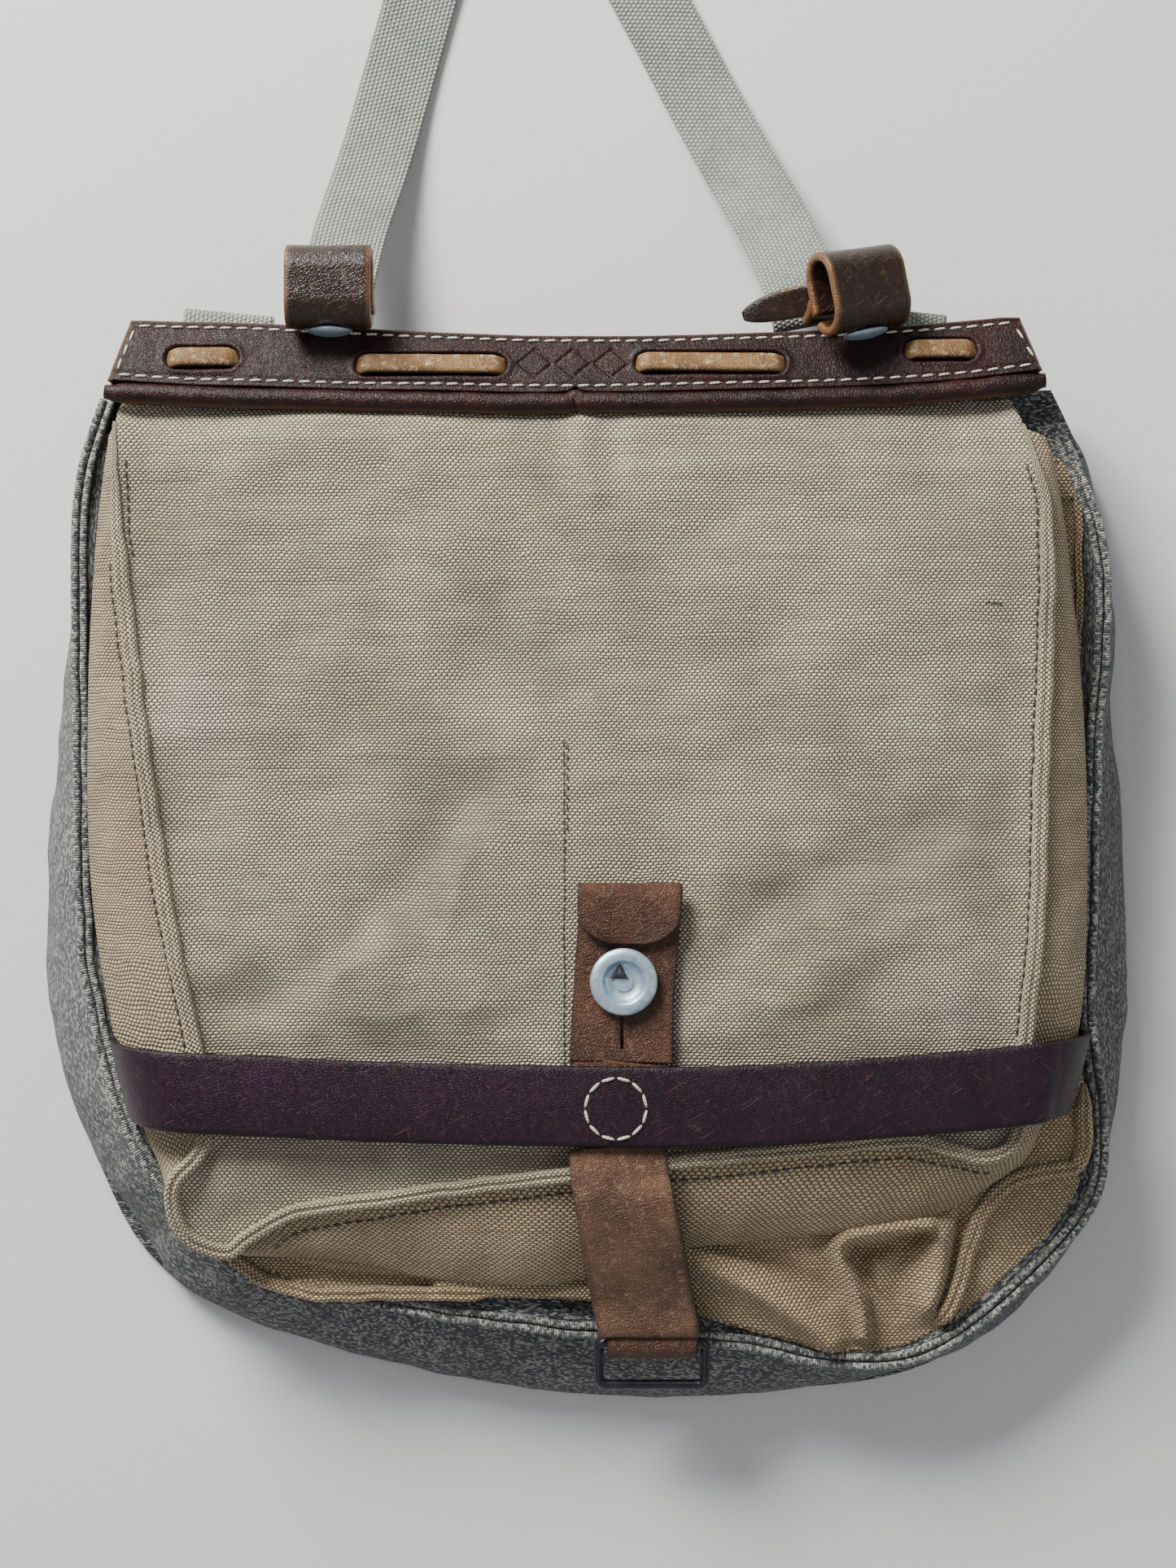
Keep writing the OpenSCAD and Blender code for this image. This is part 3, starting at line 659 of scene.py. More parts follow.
def pouch_height(x, y, side):
    middle = np.interp(y, [-155, -146, -122, -110, -95, -60, 0, 60, 140], [32, 34, 36.5, 41, 46.5, 52, 52, 49, 43])
    z = middle - 14 * np.abs(side) ** 4 * np.clip((y + 150) / 60, 0.25, 1)
    z = z + 0.9 * ripple(x, y, 34, 11) + 0.35 * ripple(x, y, 12, 12)
    z = z + folds(x, y,
        (7.5, 2.5, (107, -114), (93, -115.8), (82.8, -117.9), (79.5, -121.8), (80.8, -127), (84, -133.5),
            (86.8, -141), (88, -150)),
        (-5.5, 2.0, (107, -118), (98, -121), (89.2, -123.4), (84.6, -124.6)),
        (-5.5, 2.2, (84.8, -124.8), (88, -131), (91.2, -138.5), (93.4, -147)),
        (6.5, 4.6, (112, -117), (111.5, -128), (109.5, -140)),
        (-4.0, 1.7, (118.5, -112), (116.6, -122), (114.6, -132), (111.5, -141)),
        (-2.4, 3.2, (101, -120), (98.5, -131), (97.5, -143)),
        (7.0, 4.2, (16, -121), (38, -128), (56, -137), (68, -145.5), (77, -153)),
        (-3.6, 4.2, (40, -119), (60, -127), (75, -138)),
        (-5.0, 2.6, (-108, -125), (-90, -130), (-70, -132.6), (-52, -134)))
    return np.maximum(z, inside_floor)


def pouch_place(u, v):
    x, y = pouch_net(u, v)
    return x, y, pouch_height(x, y, 2 * u - 1)


def pouch_sun(u, v, p):
    return np.clip((-104 - p[1]) / 40, 0, 1) * 0.35


dress(laid("pouch_front_cloth", 230, 230, pouch_place, None, 1.4, {"sun": pouch_sun,
    "soil": lambda u, v, p: np.clip((-134 - p[1]) / 20, 0, 0.5)}),
    golden_canvas, "bag", "tan_canvas", "pouch_front")


def pouch_edge(t):
    """The pouch front's outer edge from the left of the mouth, round the bottom, to the right of it."""
    t = np.asarray(t, float)
    u = np.clip((t - 0.38) / 0.24, 0, 1)
    v = np.clip(np.where(t < 0.5, t / 0.38, (1 - t) / 0.38), 0, 1)
    x, y, z = pouch_place(u, v)
    return x, y, z


def pouch_wall_place(u, v):
    x, y, z = pouch_edge(u)
    ahead_x, ahead_y = np.gradient(x, axis=1), np.gradient(y, axis=1)
    size = np.hypot(ahead_x, ahead_y) + 1e-6
    out = 0.4 - 1.2 * v + 1.0 * ripple(u * 700, v * 40, 22, 14) * np.sin(math.pi * v)
    return x + ahead_y / size * -out * -1, y - ahead_x / size * out, z - 0.2 - (z - 2.2) * v


dress(laid("pouch_wall_cloth", 300, 14, pouch_wall_place, lambda u, v, p: (u * 760, v * 42), 1.3,
    {"sun": lambda u, v, p: 0 * u, "soil": lambda u, v, p: 0.5 * v}),
    golden_canvas, "bag", "tan_canvas", "pouch_wall")


def hem_place(u, v):
    x, y = pouch_net(u, 0.001 + 0.048 * np.clip(v, 0, 1))
    z = pouch_height(x, y, 2 * u - 1) + 1.0 + 0.6 * np.sin(math.pi * np.clip(v * 1.4, 0, 1))
    return x, y, z


dress(laid("pouch_mouth_hem", 160, 12, hem_place, None, 1.0, {"sun": lambda u, v, p: 0 * u + 0.2,
    "soil": lambda u, v, p: 0 * u}), golden_canvas, "bag", "tan_canvas")
for row_at in (0.006, 0.042):
    u = np.linspace(0.01, 0.99, 160)
    x, y = pouch_net(u, np.full_like(u, row_at))
    row = np.stack([x, y, pouch_height(x, y, 2 * u - 1) + 1.9], 1)
    running_stitch(f"hem_stitches_{int(row_at * 1000)}", row, 0, 1.8, 0.55, 2.9, dark_thread, "bag")


def pinched_section(wide, high):
    """A seam pinched up out of the cloth: two layers with a groove along the top."""
    a = np.linspace(0, math.pi, 25)
    x = wide / 2 * np.cos(a)
    z = high * np.sin(a) ** 0.5 - 0.9 * np.exp(-((x / 0.6) ** 2))
    return np.vstack([np.stack([x, z], 1), [(-wide / 2, -1.2), (wide / 2, -1.2)]])


def scaled(wide, high):
    """Lets a section's width and height change along its piece, as functions of t from 0 to 1."""
    def shape(section, count):
        t = np.linspace(0, 1, count)
        return section[None] * np.stack([wide(t), high(t)], 1)[:, None]

    return shape


seam_steps = 260


def dying_out(t):
    """Both ends of a seam sink back into the cloth."""
    return np.clip(0.25 + np.minimum(t, 1 - t) * seam_steps / 22, 0.25, 1)


def pinched_seam(name, course, surface, wide, high, material, body, slot, *nodes):
    flat = evenly(flowing(course, 14), seam_steps)
    wobble = 0.4 * ripple(flat[:, 0], flat[:, 1], 9, 21)
    x, y = flat[:, 0] + wobble, flat[:, 1] + wobble
    line = np.stack([x, y, surface(x, y)], 1)
    ahead = np.gradient(line, axis=0)
    side = np.stack([ahead[:, 1], -ahead[:, 0], 0 * x], 1)
    seam = swept(name, line, side, pinched_section(wide, high), shape=scaled(dying_out, dying_out))
    for key in ("sun", "soil"):
        seam.data.attributes.new(key, "FLOAT", "POINT")
    dress(seam, material, body, slot, *nodes)
    return line, side / np.linalg.norm(side, axis=1)[:, None]


def over_pouch(x, y):
    left = np.interp(-y, [-131, 0, 60, 90, 125], [144, 150, 148, 138, 113])
    right = np.interp(-y, [-131, 0, 60, 90, 120, 146], [153, 152, 153, 157, 143, 118])
    side = (2 * x - (right - left)) / (right + left)
    return pouch_height(x, y, np.clip(side, -1, 1)) - 0.4


# Each seam: its width, its height, how far beside it the stitches run, and its course
pouch_seams = {
    "left": (4.6, 2.8, 2.9, [(-117, -118), (-113, -127), (-104, -132.4), (-92, -136.4), (-76, -137.3),
        (-56, -137), (-30, -137.5)]),
    "right": (5.6, 4.6, -3.9, [(157, -70), (157.6, -86), (155.5, -95.5), (148.3, -97.6), (138, -98.8),
        (130.3, -103.2), (125.2, -110.4), (121.9, -119.4), (118.8, -130.7), (115.6, -140), (110, -148)]),
    "mouth": (2.8, 2.2, -2.5, [(155.2, 130), (156, 118), (156.2, 100), (155.8, 72)])}
for seam_name, (wide, high, beside, course) in pouch_seams.items():
    seam_line, seam_out = pinched_seam(f"pouch_seam_{seam_name}", course, over_pouch, wide, high, golden_canvas,
        "bag", "tan_canvas", *(["pouch_seam"] if seam_name == "left" else []))
    row = seam_line + seam_out * beside
    row[:, 2] = over_pouch(row[:, 0], row[:, 1]) + 0.6
    running_stitch(f"pouch_stitches_{seam_name}", row[4:-4], 0.1, 2.1, 0.6, 3.1, dark_thread, "bag")


# ---- The box flap ---------------------------------------------------------------------------------
# The same canvas, bleached by the sun: a face and a wall around three sides, pinched together at
# a raised seam that dark thread runs beside. It hangs from the bar and folds at its bead.
flap_left = [(-147, 147), (-148.5, 139), (-147.3, 107), (-141, 54), (-131.5, -10), (-122, -58), (-119.5, -86),
    (-128.5, -98.5), (-130, -108), (-126, -117), (-114, -122.5)]
flap_right = [(133, 147), (137, 138), (142.5, 116), (143.2, 90), (142.5, 55), (141.3, 30), (140, -15), (136.5, -50),
    (135.5, -74), (133.9, -82), (131, -88.4)]
flap_top = [(-147, 147), (-90, 147), (-20, 146.5), (20, 146.5), (80, 147), (133, 147)]
flap_bottom = [(-114, -122.5), (-107.5, -118), (-95, -110.5), (-84, -107.5), (-50, -102.5), (-10, -97), (26, -92.5),
    (66, -88.5), (94, -86), (104.3, -86), (115.7, -89.4), (125, -91), (131, -88.4)]
flap_net = patch(flap_left, flap_right, flap_top, flap_bottom)


def quiet_places(x, y):
    """1 where the cloth is free to heave, and 0 under the straps, which hold it flat."""
    strap = np.clip((np.abs(y + 72) - 14) / 14, 0, 1)
    tab = np.clip(np.maximum(np.abs(x - 11) - 17, np.abs(y + 35) - 28) / 12, 0, 1)
    return np.minimum(strap, tab) * np.clip((148 - y) / 14, 0, 1)


def flap_height(x, y):
    middle = np.interp(y, [-123, -112, -103, -95, -73, -20, 40, 100, 124, 134, 139, 142.5, 147],
        [44, 49, 53, 55.4, 57.4, 57.7, 57, 54, 52.4, 50.4, 48.2, 45.4, 40.5])
    z = middle - 3.3 * ((x - 2) / 138) ** 2
    heave = 2.6 * ripple(x, y, 58, 31) + 1.3 * ripple(x, y, 26, 32) + 0.4 * ripple(x * 1.0, y * 2.0, 15, 33)
    heave += folds(x, y, (1.9, 4.2, (-3, 143), (-2, 128), (2, 116)), (-1.3, 4.0, (6, 143), (9, 126)),
        (-3.4, 9, (-36, 22), (-58, -8), (-90, -34), (-112, -46)),
        (2.6, 9, (-106, 22), (-92, -8), (-74, -36), (-56, -54)), (2.2, 7, (-34, -4), (-42, -34), (-38, -56)),
        (-3.0, 8, (112, 12), (84, 2), (56, -14), (38, -34)), (2.6, 8, (110, -18), (82, -28), (52, -50)),
        (-1.6, 13, (-30, 84), (-8, 62), (22, 58), (60, 70)), (1.2, 15, (-96, 70), (-60, 52), (-20, 36)),
        (1.2, 13, (96, 96), (110, 60), (108, 40)))
    return z + np.clip(heave * quiet_places(x, y), -4.5, 3.4)


def flap_place(u, v):
    x, y = flap_net(u, v)
    z = flap_height(x, y)
    side = np.minimum(np.minimum(u * 265, (1 - u) * 265), (1 - v) * 240)
    return x, y, z + 0.9 * np.exp(-((side / 4.0) ** 2)) - 0.7 * np.exp(-(((side - 9) / 5.0) ** 2))


def flap_sun(u, v, p):
    cloud = 0.5 + 0.5 * ripple(p[0], p[1], 48, 41)
    return np.clip(0.25 + 0.75 * cloud * np.clip(v * 3, 0.4, 1), 0, 1)


# Real soiling in ripples, with painted shade in the flap's dents and in bands beside the cross strap.
def flap_soil_and_shade(u, v, p):
    x, y = p[0], p[1]
    # Painted shade: soil laid along the valleys of flap_height.
    soil = folds(x, y, (0.55, 17, (-38, 24), (-46, -8), (-70, -28)), (0.5, 16, (100, 8), (66, -8)),
        (0.6, 10, (122, 12), (118, -8)), (0.5, 14, (-110, -40), (-60, -50)),
        (0.35, 16, (-10, 66), (-34, 84)), (0.25, 20, (-100, 100), (-80, 84)))
    # Painted shade: bands just beyond both edges of the cross strap.
    soil += 0.4 * np.exp(-(((y + 57) / 6.0) ** 2)) + 0.5 * np.exp(-(((y + 92) / 7.0) ** 2))
    # Real soiling: fine and broad ripples.
    soil += 0.22 * ripple(x, y, 9, 43) + 0.25 * ripple(x, y, 30, 44)
    return np.clip(soil, 0, 1)


flap_face = laid("flap_face_cloth", 260, 250, flap_place, None, 1.3, {"sun": flap_sun, "soil": flap_soil_and_shade})
flap_face.data.materials.append(faded_canvas)
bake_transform(flap_face)
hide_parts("flap_face")

# The wall, course by course: ridge x, y and hem x, y, z
flap_wall_course = flowing([(-148.5, 138, -151, 134, 43), (-147.3, 107, -155, 104, 42), (-141, 54, -158, 56, 40),
    (-131.5, -10, -157.5, -5, 39), (-122, -58, -150, -56, 38), (-119.5, -86, -141, -84, 37),
    (-128, -98, -136, -96, 36.5), (-130, -108, -132.5, -107, 36), (-126, -117, -126, -119, 35.5),
    (-113, -122.5, -110, -124.5, 36), (-95, -111, -90, -125.3, 37.5), (-76, -107, -72, -127.2, 37),
    (-56, -103.5, -55, -131.5, 36), (-30, -99.8, -29, -134, 36.4), (-8, -97, -6, -133, 37.5),
    (25, -93, 28, -123, 38.5), (70, -88.5, 74, -117.5, 40.5), (96, -86.2, 100, -114, 41),
    (112, -88.5, 115, -109, 41), (124, -91.2, 128, -101, 41.5), (132.4, -87, 139, -92, 42),
    (135.5, -74, 147, -74, 40), (136.5, -50, 155.5, -52, 39), (140, -12, 158, -10, 39), (142, 46, 157, 44, 39.5),
    (143.2, 92, 152.5, 92, 40), (142, 118, 147.5, 124, 42), (137, 137, 144, 134, 44)], 16)
wall_s = lengths(flap_wall_course[:, :2])


def wall_at(u, k):
    return np.interp(u * wall_s[-1], wall_s, flap_wall_course[:, k])


def flap_wall_place(u, v):
    rx, ry, hx, hy, hz = (wall_at(u, k) for k in range(5))
    rz = flap_height(rx, ry) + 0.3
    swell = np.sin(math.pi * v) ** 0.7
    heave = 1.6 + 1.0 * ripple(u * 700, v * 30, 30, 51) + 0.7 * ripple(u * 700, v * 12, 11, 52)
    out_x, out_y = hx - rx, hy - ry
    size = np.maximum(np.hypot(out_x, out_y), 8)
    x = rx + out_x * v + out_x / size * heave * swell * 0.8
    y = ry + out_y * v + out_y / size * heave * swell * 0.8
    return x, y, rz + (hz - rz) * v + heave * swell * 0.9


def wall_lay(u, v, p):
    """The weave runs level all round the wall, as it does on the face."""
    low = np.clip((-30 - p[1]) / 80, 0, 1)
    return p[0] - 0.5 * np.clip(p[0] / 100, -1, 1) * p[2], p[1] + 0.5 * p[2] * low


flap_wall = laid("flap_wall_cloth", 420, 26, flap_wall_place,
    wall_lay, 1.2,
    {"sun": lambda u, v, p: 0.5 - 0.3 * v, "soil": lambda u, v, p: 0.12 + 0.3 * v**3 + 0.2 * (1 - v) ** 6})
dress(flap_wall, golden_canvas, "flap", "faded_canvas", "flap_wall")

ridge_line, ridge_side = pinched_seam("flap_ridge", [*flap_left[1:], *flap_bottom[1:], *flap_right[-2:0:-1]],
    lambda x, y: flap_height(x, y) + 0.7, 5.0, 3.3, faded_canvas, "flap", "faded_canvas", "flap_seam")
ridge_s = lengths(ridge_line) / lengths(ridge_line)[-1]


def inside_ridge(start, end, gap):
    part = (ridge_s >= start) & (ridge_s <= end)
    row = ridge_line[part] - ridge_side[part] * gap
    row[:, 2] = flap_height(row[:, 0], row[:, 1]) + 0.5
    return row


def on_wall(start, end, beside):
    """A row on the flap's wall, a little way down from the ridge, between two places along it."""
    near = [np.argmin(np.hypot(flap_wall_course[:, 0] - x, flap_wall_course[:, 1] - y)) for x, y in (start, end)]
    u = np.linspace(wall_s[near[0]], wall_s[near[1]], 220) / wall_s[-1]
    reach = np.hypot(wall_at(u, 2) - wall_at(u, 0), wall_at(u, 3) - wall_at(u, 1))
    return np.stack(flap_wall_place(u, beside / np.maximum(reach, beside)), 1)


flap_rows = {"left_top": inside_ridge(0.012, 0.06, 3.5), "left": on_wall((-146, 95), (-122, -58), 3.1),
    "low": on_wall((-102, -115), (124, -91.2), 5.0), "right": inside_ridge(0.745, 0.985, 3.0)}
for row_name, row in flap_rows.items():
    running_stitch(f"flap_stitches_{row_name}", row, 0.3, 2.6, 0.8, 3.5, dark_thread, "flap")


def on_flap(x, y, lift=0.0):
    x, y = np.asarray(x, float), np.asarray(y, float)
    return np.stack([x, y, flap_height(x, y) + lift], 1)


# A dark seam runs down the middle to the closing strap, sewn back over itself at its top
seam_y = np.linspace(39, -63, 90)
seam_x = -7.4 + 0.35 * ripple(seam_y, 0 * seam_y, 14, 61)
running_stitch("middle_seam", on_flap(seam_x, seam_y), 0.15, 2.5, 0.62, 3.0, dark_thread, "flap")
back_y = np.linspace(38, 10, 30)
running_stitch("middle_seam_back", on_flap(-6.4 + 0 * back_y, back_y), 0.25, 2.3, 0.62, 2.9, dark_thread,
    "flap", lean=0.3)


# A small tear near the right edge and a pale snag higher up
for mark_name, x_ends, y_ends, thread in (("tear_threads", (123.5, 129), (81.8, 81.2), dark_thread),
        ("snag_threads", (-21, -16), (96.6, 97.6), white_thread)):
    at = np.linspace(0, 1, 8)
    row = on_flap(np.interp(at, (0, 1), x_ends), np.interp(at, (0, 1), y_ends))
    running_stitch(mark_name, row, 0.1, 1.6, 0.6, 1.7, thread, "flap", lean=0.5)


# ---- The leather bar --------------------------------------------------------------------------------
# Dark brown harness leather, sewn to the back cloth with waxed white thread all round and turned
# over a cord along its lower edge. Lacing shows in four long windows, with three tooled lozenges between.
def leather_finish(name, base, deep, worn, raw, grain=1.0, gloss=0.42, coat=0.0, wear=0.55,
        depth=0.00022, shine=0.4):
    f = Finish(name, gloss, Specular_IOR_Level=shine, Coat_Weight=coat, Coat_Roughness=0.34)
    lay = f.lay()
    pores = f.add("ShaderNodeTexVoronoi", {"Vector": lay, "Scale": 1.3 * grain}, feature="DISTANCE_TO_EDGE")
    creases = f.noise(f.stretch(lay, (0.9, 0.28, 1)), grain, 5, 0.65)
    cloud = f.noise(lay, 0.045, 4, 0.6)
    rub = f.noise(lay, 0.35, 6, 0.75)
    strokes = []
    for slant, fine in ((0.75, 2.6), (-0.5, 2.9), (1.2, 3.2)):
        turned = f.add("ShaderNodeMapping", {0: lay, 2: (0, 0, slant)})
        strokes.append(f.ramp(f.noise(f.stretch(turned, (0.11, fine, 1)), 1.0, 1, 0.5), (0.71, 0.0), (0.75, 1.0)))
    scratches = f.math("MAXIMUM", strokes[0], f.math("MAXIMUM", strokes[1], strokes[2]))
    edge = f.ramp(f.mark("edge"), (0.86, 0.0), (0.985, 1.0))
    colour = f.mix(f.ramp(cloud, (0.3, 0.0), (0.7, 1.0)), deep, base)
    colour = f.mix(f.times(f.ramp(rub, (0.54, 0.0), (0.72, 1.0)), wear), colour, worn)
    colour = f.mix(f.times(scratches, 0.5), colour, worn)
    colour = f.mix(f.times(edge, f.math("MULTIPLY_ADD", rub, 0.9, 0.3)), colour, raw)
    height = f.plus(f.times(f.math("MINIMUM", pores, 0.25), 1.4),
        f.math("SUBTRACT", creases, f.times(scratches, 0.25)))
    rough = f.math("MULTIPLY_ADD", rub, 0.35, gloss - 0.12)
    return f.finish(colour, height, depth, rough)


bar_leather = leather_finish("bar_leather", (0.028, 0.0072, 0.0055), (0.0062, 0.0024, 0.0028), (0.11, 0.042, 0.02),
    (0.09, 0.034, 0.013), 1.0, 0.30, 0.04, 0.25, 0.00022, 0.24)
# Partly painted sheen: the violet tint of the base stands in for bluish sky light reflected off the strap; under it
# the leather is dark burgundy.
strap_leather = leather_finish("burgundy_strap_leather", (0.021, 0.0050, 0.0165), (0.010, 0.0026, 0.0070),
    (0.20, 0.09, 0.055), (0.006, 0.003, 0.004), 1.0, 0.34, 0.03, 0.08, 0.00022, 0.28)
tan_leather = leather_finish("worn_brown_leather", (0.125, 0.047, 0.022), (0.032, 0.012, 0.0065),
    (0.33, 0.18, 0.095), (0.024, 0.011, 0.0065), 0.9, 0.40, 0.06, 0.42, 0.0006)
tail_leather = leather_finish("worn_tail_leather", (0.20, 0.096, 0.052), (0.062, 0.027, 0.0155),
    (0.44, 0.29, 0.185), (0.03, 0.014, 0.008), 0.9, 0.38, 0.08, 0.62, 0.0006)
loop_leather = leather_finish("loop_leather", (0.030, 0.012, 0.0058), (0.008, 0.0036, 0.0024), (0.22, 0.11, 0.045),
    (0.20, 0.088, 0.03), 0.9, 0.24, 0.12, 0.28)
lace_leather = leather_finish("lace_leather", (0.36, 0.195, 0.065), (0.10, 0.043, 0.013), (0.82, 0.70, 0.46),
    (0.028, 0.012, 0.006), 1.3, 0.34, 0.12, 0.85, 0.0004)
bar_low = flowing([(-152, 3.8), (-120, 2.0), (-60, 0.4), (-12, -0.4), (-4, 1.4), (4, -0.2), (60, 1.0), (110, 3.4),
    (143, 7.6)], 10)
bar_high = flowing([(-145, 30.5), (-100, 29), (-40, 26), (10, 25.2), (60, 26.4), (110, 29.2), (136.5, 31.5)], 10)
bar_slope = math.radians(18)
bar_foot = np.array([0, 143, 50.0])


def bar_world(x, y, z):
    """From the bar's own flat space to the bag's."""
    return (x, bar_foot[1] + y * math.cos(bar_slope) + z * math.sin(bar_slope),
        bar_foot[2] - y * math.sin(bar_slope) + z * math.cos(bar_slope))


lace_windows = [(-121.5, 17, 20), (-49.4, 14.6, 44.5), (38.5, 15.2, 44.5), (111, 19.8, 20)]


def oval_gap(x, y, middle_x, middle_y, long, wide):
    """How far a point is outside (or, below 0, inside) a slot with round ends."""
    dx = np.maximum(np.abs(x - middle_x) - (long - wide) / 2, 0)
    return np.hypot(dx, y - middle_y) - wide / 2


def bar_flat(u, v):
    x = -151 + 294 * u
    low, high = np.interp(x, bar_low[:, 0], bar_low[:, 1]), np.interp(x, bar_high[:, 0], bar_high[:, 1])
    x = x + (v * (1 - 2 * u)) * 6.4
    return x, low + 5.6 + (high - low - 5.6) * v


bar_long, bar_tall = 285, 26


def from_edge(u, v):
    """How far in from the bar's two ends and its upper edge."""
    return np.minimum(np.minimum(u * bar_long, (1 - u) * bar_long), (1 - v) * bar_tall)


def bar_face(x, y, u, v):
    z = 0.15 + 0.35 * ripple(x, y, 30, 71) + 0.12 * ripple(x, y, 8, 72)
    for middle_x, middle_y, long in lace_windows:
        gap = oval_gap(x, y, middle_x, middle_y, long + 2.6, 7.1)
        z = z - 2.0 / (1 + np.exp(gap / 0.22)) + 0.45 * np.exp(-(((gap - 1.2) / 1.1) ** 2))
    stitched = np.minimum(np.abs(v - 0.90), np.abs(v - 0.12)) * bar_tall
    z = z - 0.30 * np.exp(-((stitched / 0.9) ** 2))
    lozenge = np.abs((x + 10.5) % 12 - 6) / 5.4 + np.abs(y - 15.2) / 4.8
    z = z - 0.5 * np.exp(-(((lozenge - 1) * 8) ** 2)) * (np.abs(x + 4.5) < 18)
    return z - 1.3 * np.exp(-((from_edge(u, v) / 0.7) ** 2))


def bar_place(u, v):
    x, y = bar_flat(u, v)
    return bar_world(x, y, bar_face(x, y, u, v))


def bar_lay(u, v, p):
    return u * 291, v * bar_tall


bar_wear = {"edge": lambda u, v, p: np.clip(1 - from_edge(u, v) / 14, 0, 1)}
dress(laid("bar_cover", 620, 64, bar_place, bar_lay, 2.4, bar_wear), bar_leather, "bag", "dark_leather",
    "bar_front")

bead_x = np.linspace(-152, 144, 240)
bead_y = np.interp(bead_x, bar_low[:, 0], bar_low[:, 1]) + 2.8
bead_wave = 0.25 * ripple(bead_x, 0 * bead_x, 11, 74)
bead_line = np.stack(bar_world(bead_x, bead_y + bead_wave, -2.7 + bead_wave), 1)


def round_section(wide, high, sides):
    turn = np.linspace(0, 2 * math.pi, sides, endpoint=False)
    return np.stack([wide * np.cos(turn), high * np.sin(turn)], 1)


def closing_in(t):
    return 1 - 0.35 * np.exp(-(np.minimum(t, 1 - t) / 0.012) ** 2)


bead = swept("bar_bead_roll", bead_line, (0, math.cos(bar_slope), -math.sin(bar_slope)),
    round_section(3.5, 3.3, 20), shape=scaled(closing_in, closing_in))
dress(bead, bar_leather, "bag", "dark_leather", "bar_bead")


def backing_place(u, v):
    x, y = bar_flat(u, v)
    return bar_world(x * 0.995, y + 0.3, -3.1 + 0.2 * ripple(x, y, 25, 75))


dress(laid("bar_backing", 160, 12, backing_place, bar_lay, 1.8, bar_wear), bar_leather, "bag", "dark_leather",
    "bar_back")


def bar_row(points):
    line = evenly(flowing(points, 10), 300)
    x, y = line[:, 0], line[:, 1]
    return np.stack(bar_world(x, y, 0.25 + 0.35 * ripple(x, y, 30, 71)), 1)


bar_up = (0, math.sin(bar_slope), math.cos(bar_slope))
white_rows = {
    "top": [(-142.5, 28), (-100, 26.6), (-40, 23.6), (10, 22.8), (60, 24), (110, 26.8), (134, 29)],
    "low": [(-148, 11), (-120, 9.4), (-60, 8), (-12, 7.3), (4, 7.4), (60, 8.6), (110, 11), (140, 14.6)],
    "left": [(-148, 12), (-143, 27)], "right": [(140.6, 16), (134.8, 28)]}
for row_name, row_points in white_rows.items():
    running_stitch(f"bar_stitches_{row_name}", bar_row(row_points), 0.1, 3.7, 0.85, 5.1, white_thread, "bag",
        bar_up, 0.06)

for number, (middle_x, middle_y, long) in enumerate(lace_windows):
    # Each length of lace comes up out of one end of its window and goes down at the other
    reach = long / 2
    x = middle_x + np.linspace(-reach - 1.0, reach + 1.0, 60)
    rise = np.clip((reach + 1.0 - np.abs(x - middle_x)) / 4.2, 0, 1)
    z = -3.0 + 3.7 * np.sin(rise * math.pi / 2) + 0.2 * ripple(x, 0 * x, 8, 80 + number)
    tilt = 0.012 if number in (0, 3) else -0.008
    y = middle_y + (x - middle_x) * tilt
    line = np.stack(bar_world(x, y, z), 1)
    lace = swept(f"lace_{number + 1}", line, (0, -math.cos(bar_slope), math.sin(bar_slope)),
        band_section(6.3, 2.2, 0.3, 10, 0.9))
    if number in (0, 3):
        dress(lace, lace_leather, "bag", "lace_leather", "lace_left" if number == 0 else "lace_right")
    else:
        dress(lace, lace_leather, "bag", "lace_leather")


# ---- The belt loops ----------------------------------------------------------------------------------
# Two bands of thick brown leather stand behind the bar, each bent over into a loop with raw cut edges
# and held shut by a domed stud. The right one has turned, so its open side and its tongue show.
loop_wide, loop_thick = 27, 2.8


def loop_line(turns):
    """The band's middle line in its own y and z: round the back, over the top and down to the front."""
    flat, bend = 4.5, 7.2
    a = np.radians(np.linspace(-100, 235, 60))
    y = np.where(np.cos(a) > 0, flat, -flat) + bend * np.cos(a)
    z = bend * np.sin(a)
    tail = np.array([(-5.5, -15.0), (-3.6, -11.0), (-0.8, -8.2)])
    ring = np.stack([y, z], 1)
    return evenly(np.vstack([tail, ring]), turns)


def spun(name, profile, steps, centre, normal, material, body, slot, *nodes, start=0.0):
    """A round metal piece: a profile, [(radius, height)], spun about its axis as on a lathe."""
    deselect()
    bpy.ops.mesh.primitive_circle_add(vertices=3, radius=0.001)
    piece = bpy.context.object
    piece.name = name
    bm = bmesh.new()
    verts = [bm.verts.new((r * MM * math.cos(start), r * MM * math.sin(start), h * MM)) for r, h in profile]
    for a, b in zip(verts, verts[1:]):
        bm.edges.new((a, b))
    bm.to_mesh(piece.data)
    bm.free()
    bpy.ops.object.mode_set(mode="EDIT")
    bpy.ops.mesh.select_all(action="SELECT")
    bpy.ops.mesh.spin(steps=steps, angle=2 * math.pi, center=(0, 0, 0), axis=(0, 0, 1))
    bpy.ops.mesh.select_all(action="SELECT")
    bpy.ops.mesh.remove_doubles(threshold=0.00001)
    bpy.ops.mesh.normals_make_consistent(inside=False)
    bpy.ops.object.mode_set(mode="OBJECT")
    tilt = Vector((0, 0, 1)).rotation_difference(Vector(normal)).to_matrix().to_4x4()
    piece.data.transform(Matrix.Translation(Vector(centre) * MM) @ tilt)
    piece.location = (0, 0, 0)
    piece.data.polygons.foreach_set("use_smooth", np.ones(len(piece.data.polygons), bool))
    deselect()
    piece.select_set(True)
    bpy.context.view_layer.objects.active = piece
    bpy.ops.object.shade_smooth_by_angle(angle=math.radians(38))
    return dress(piece, material, body, slot, *nodes)


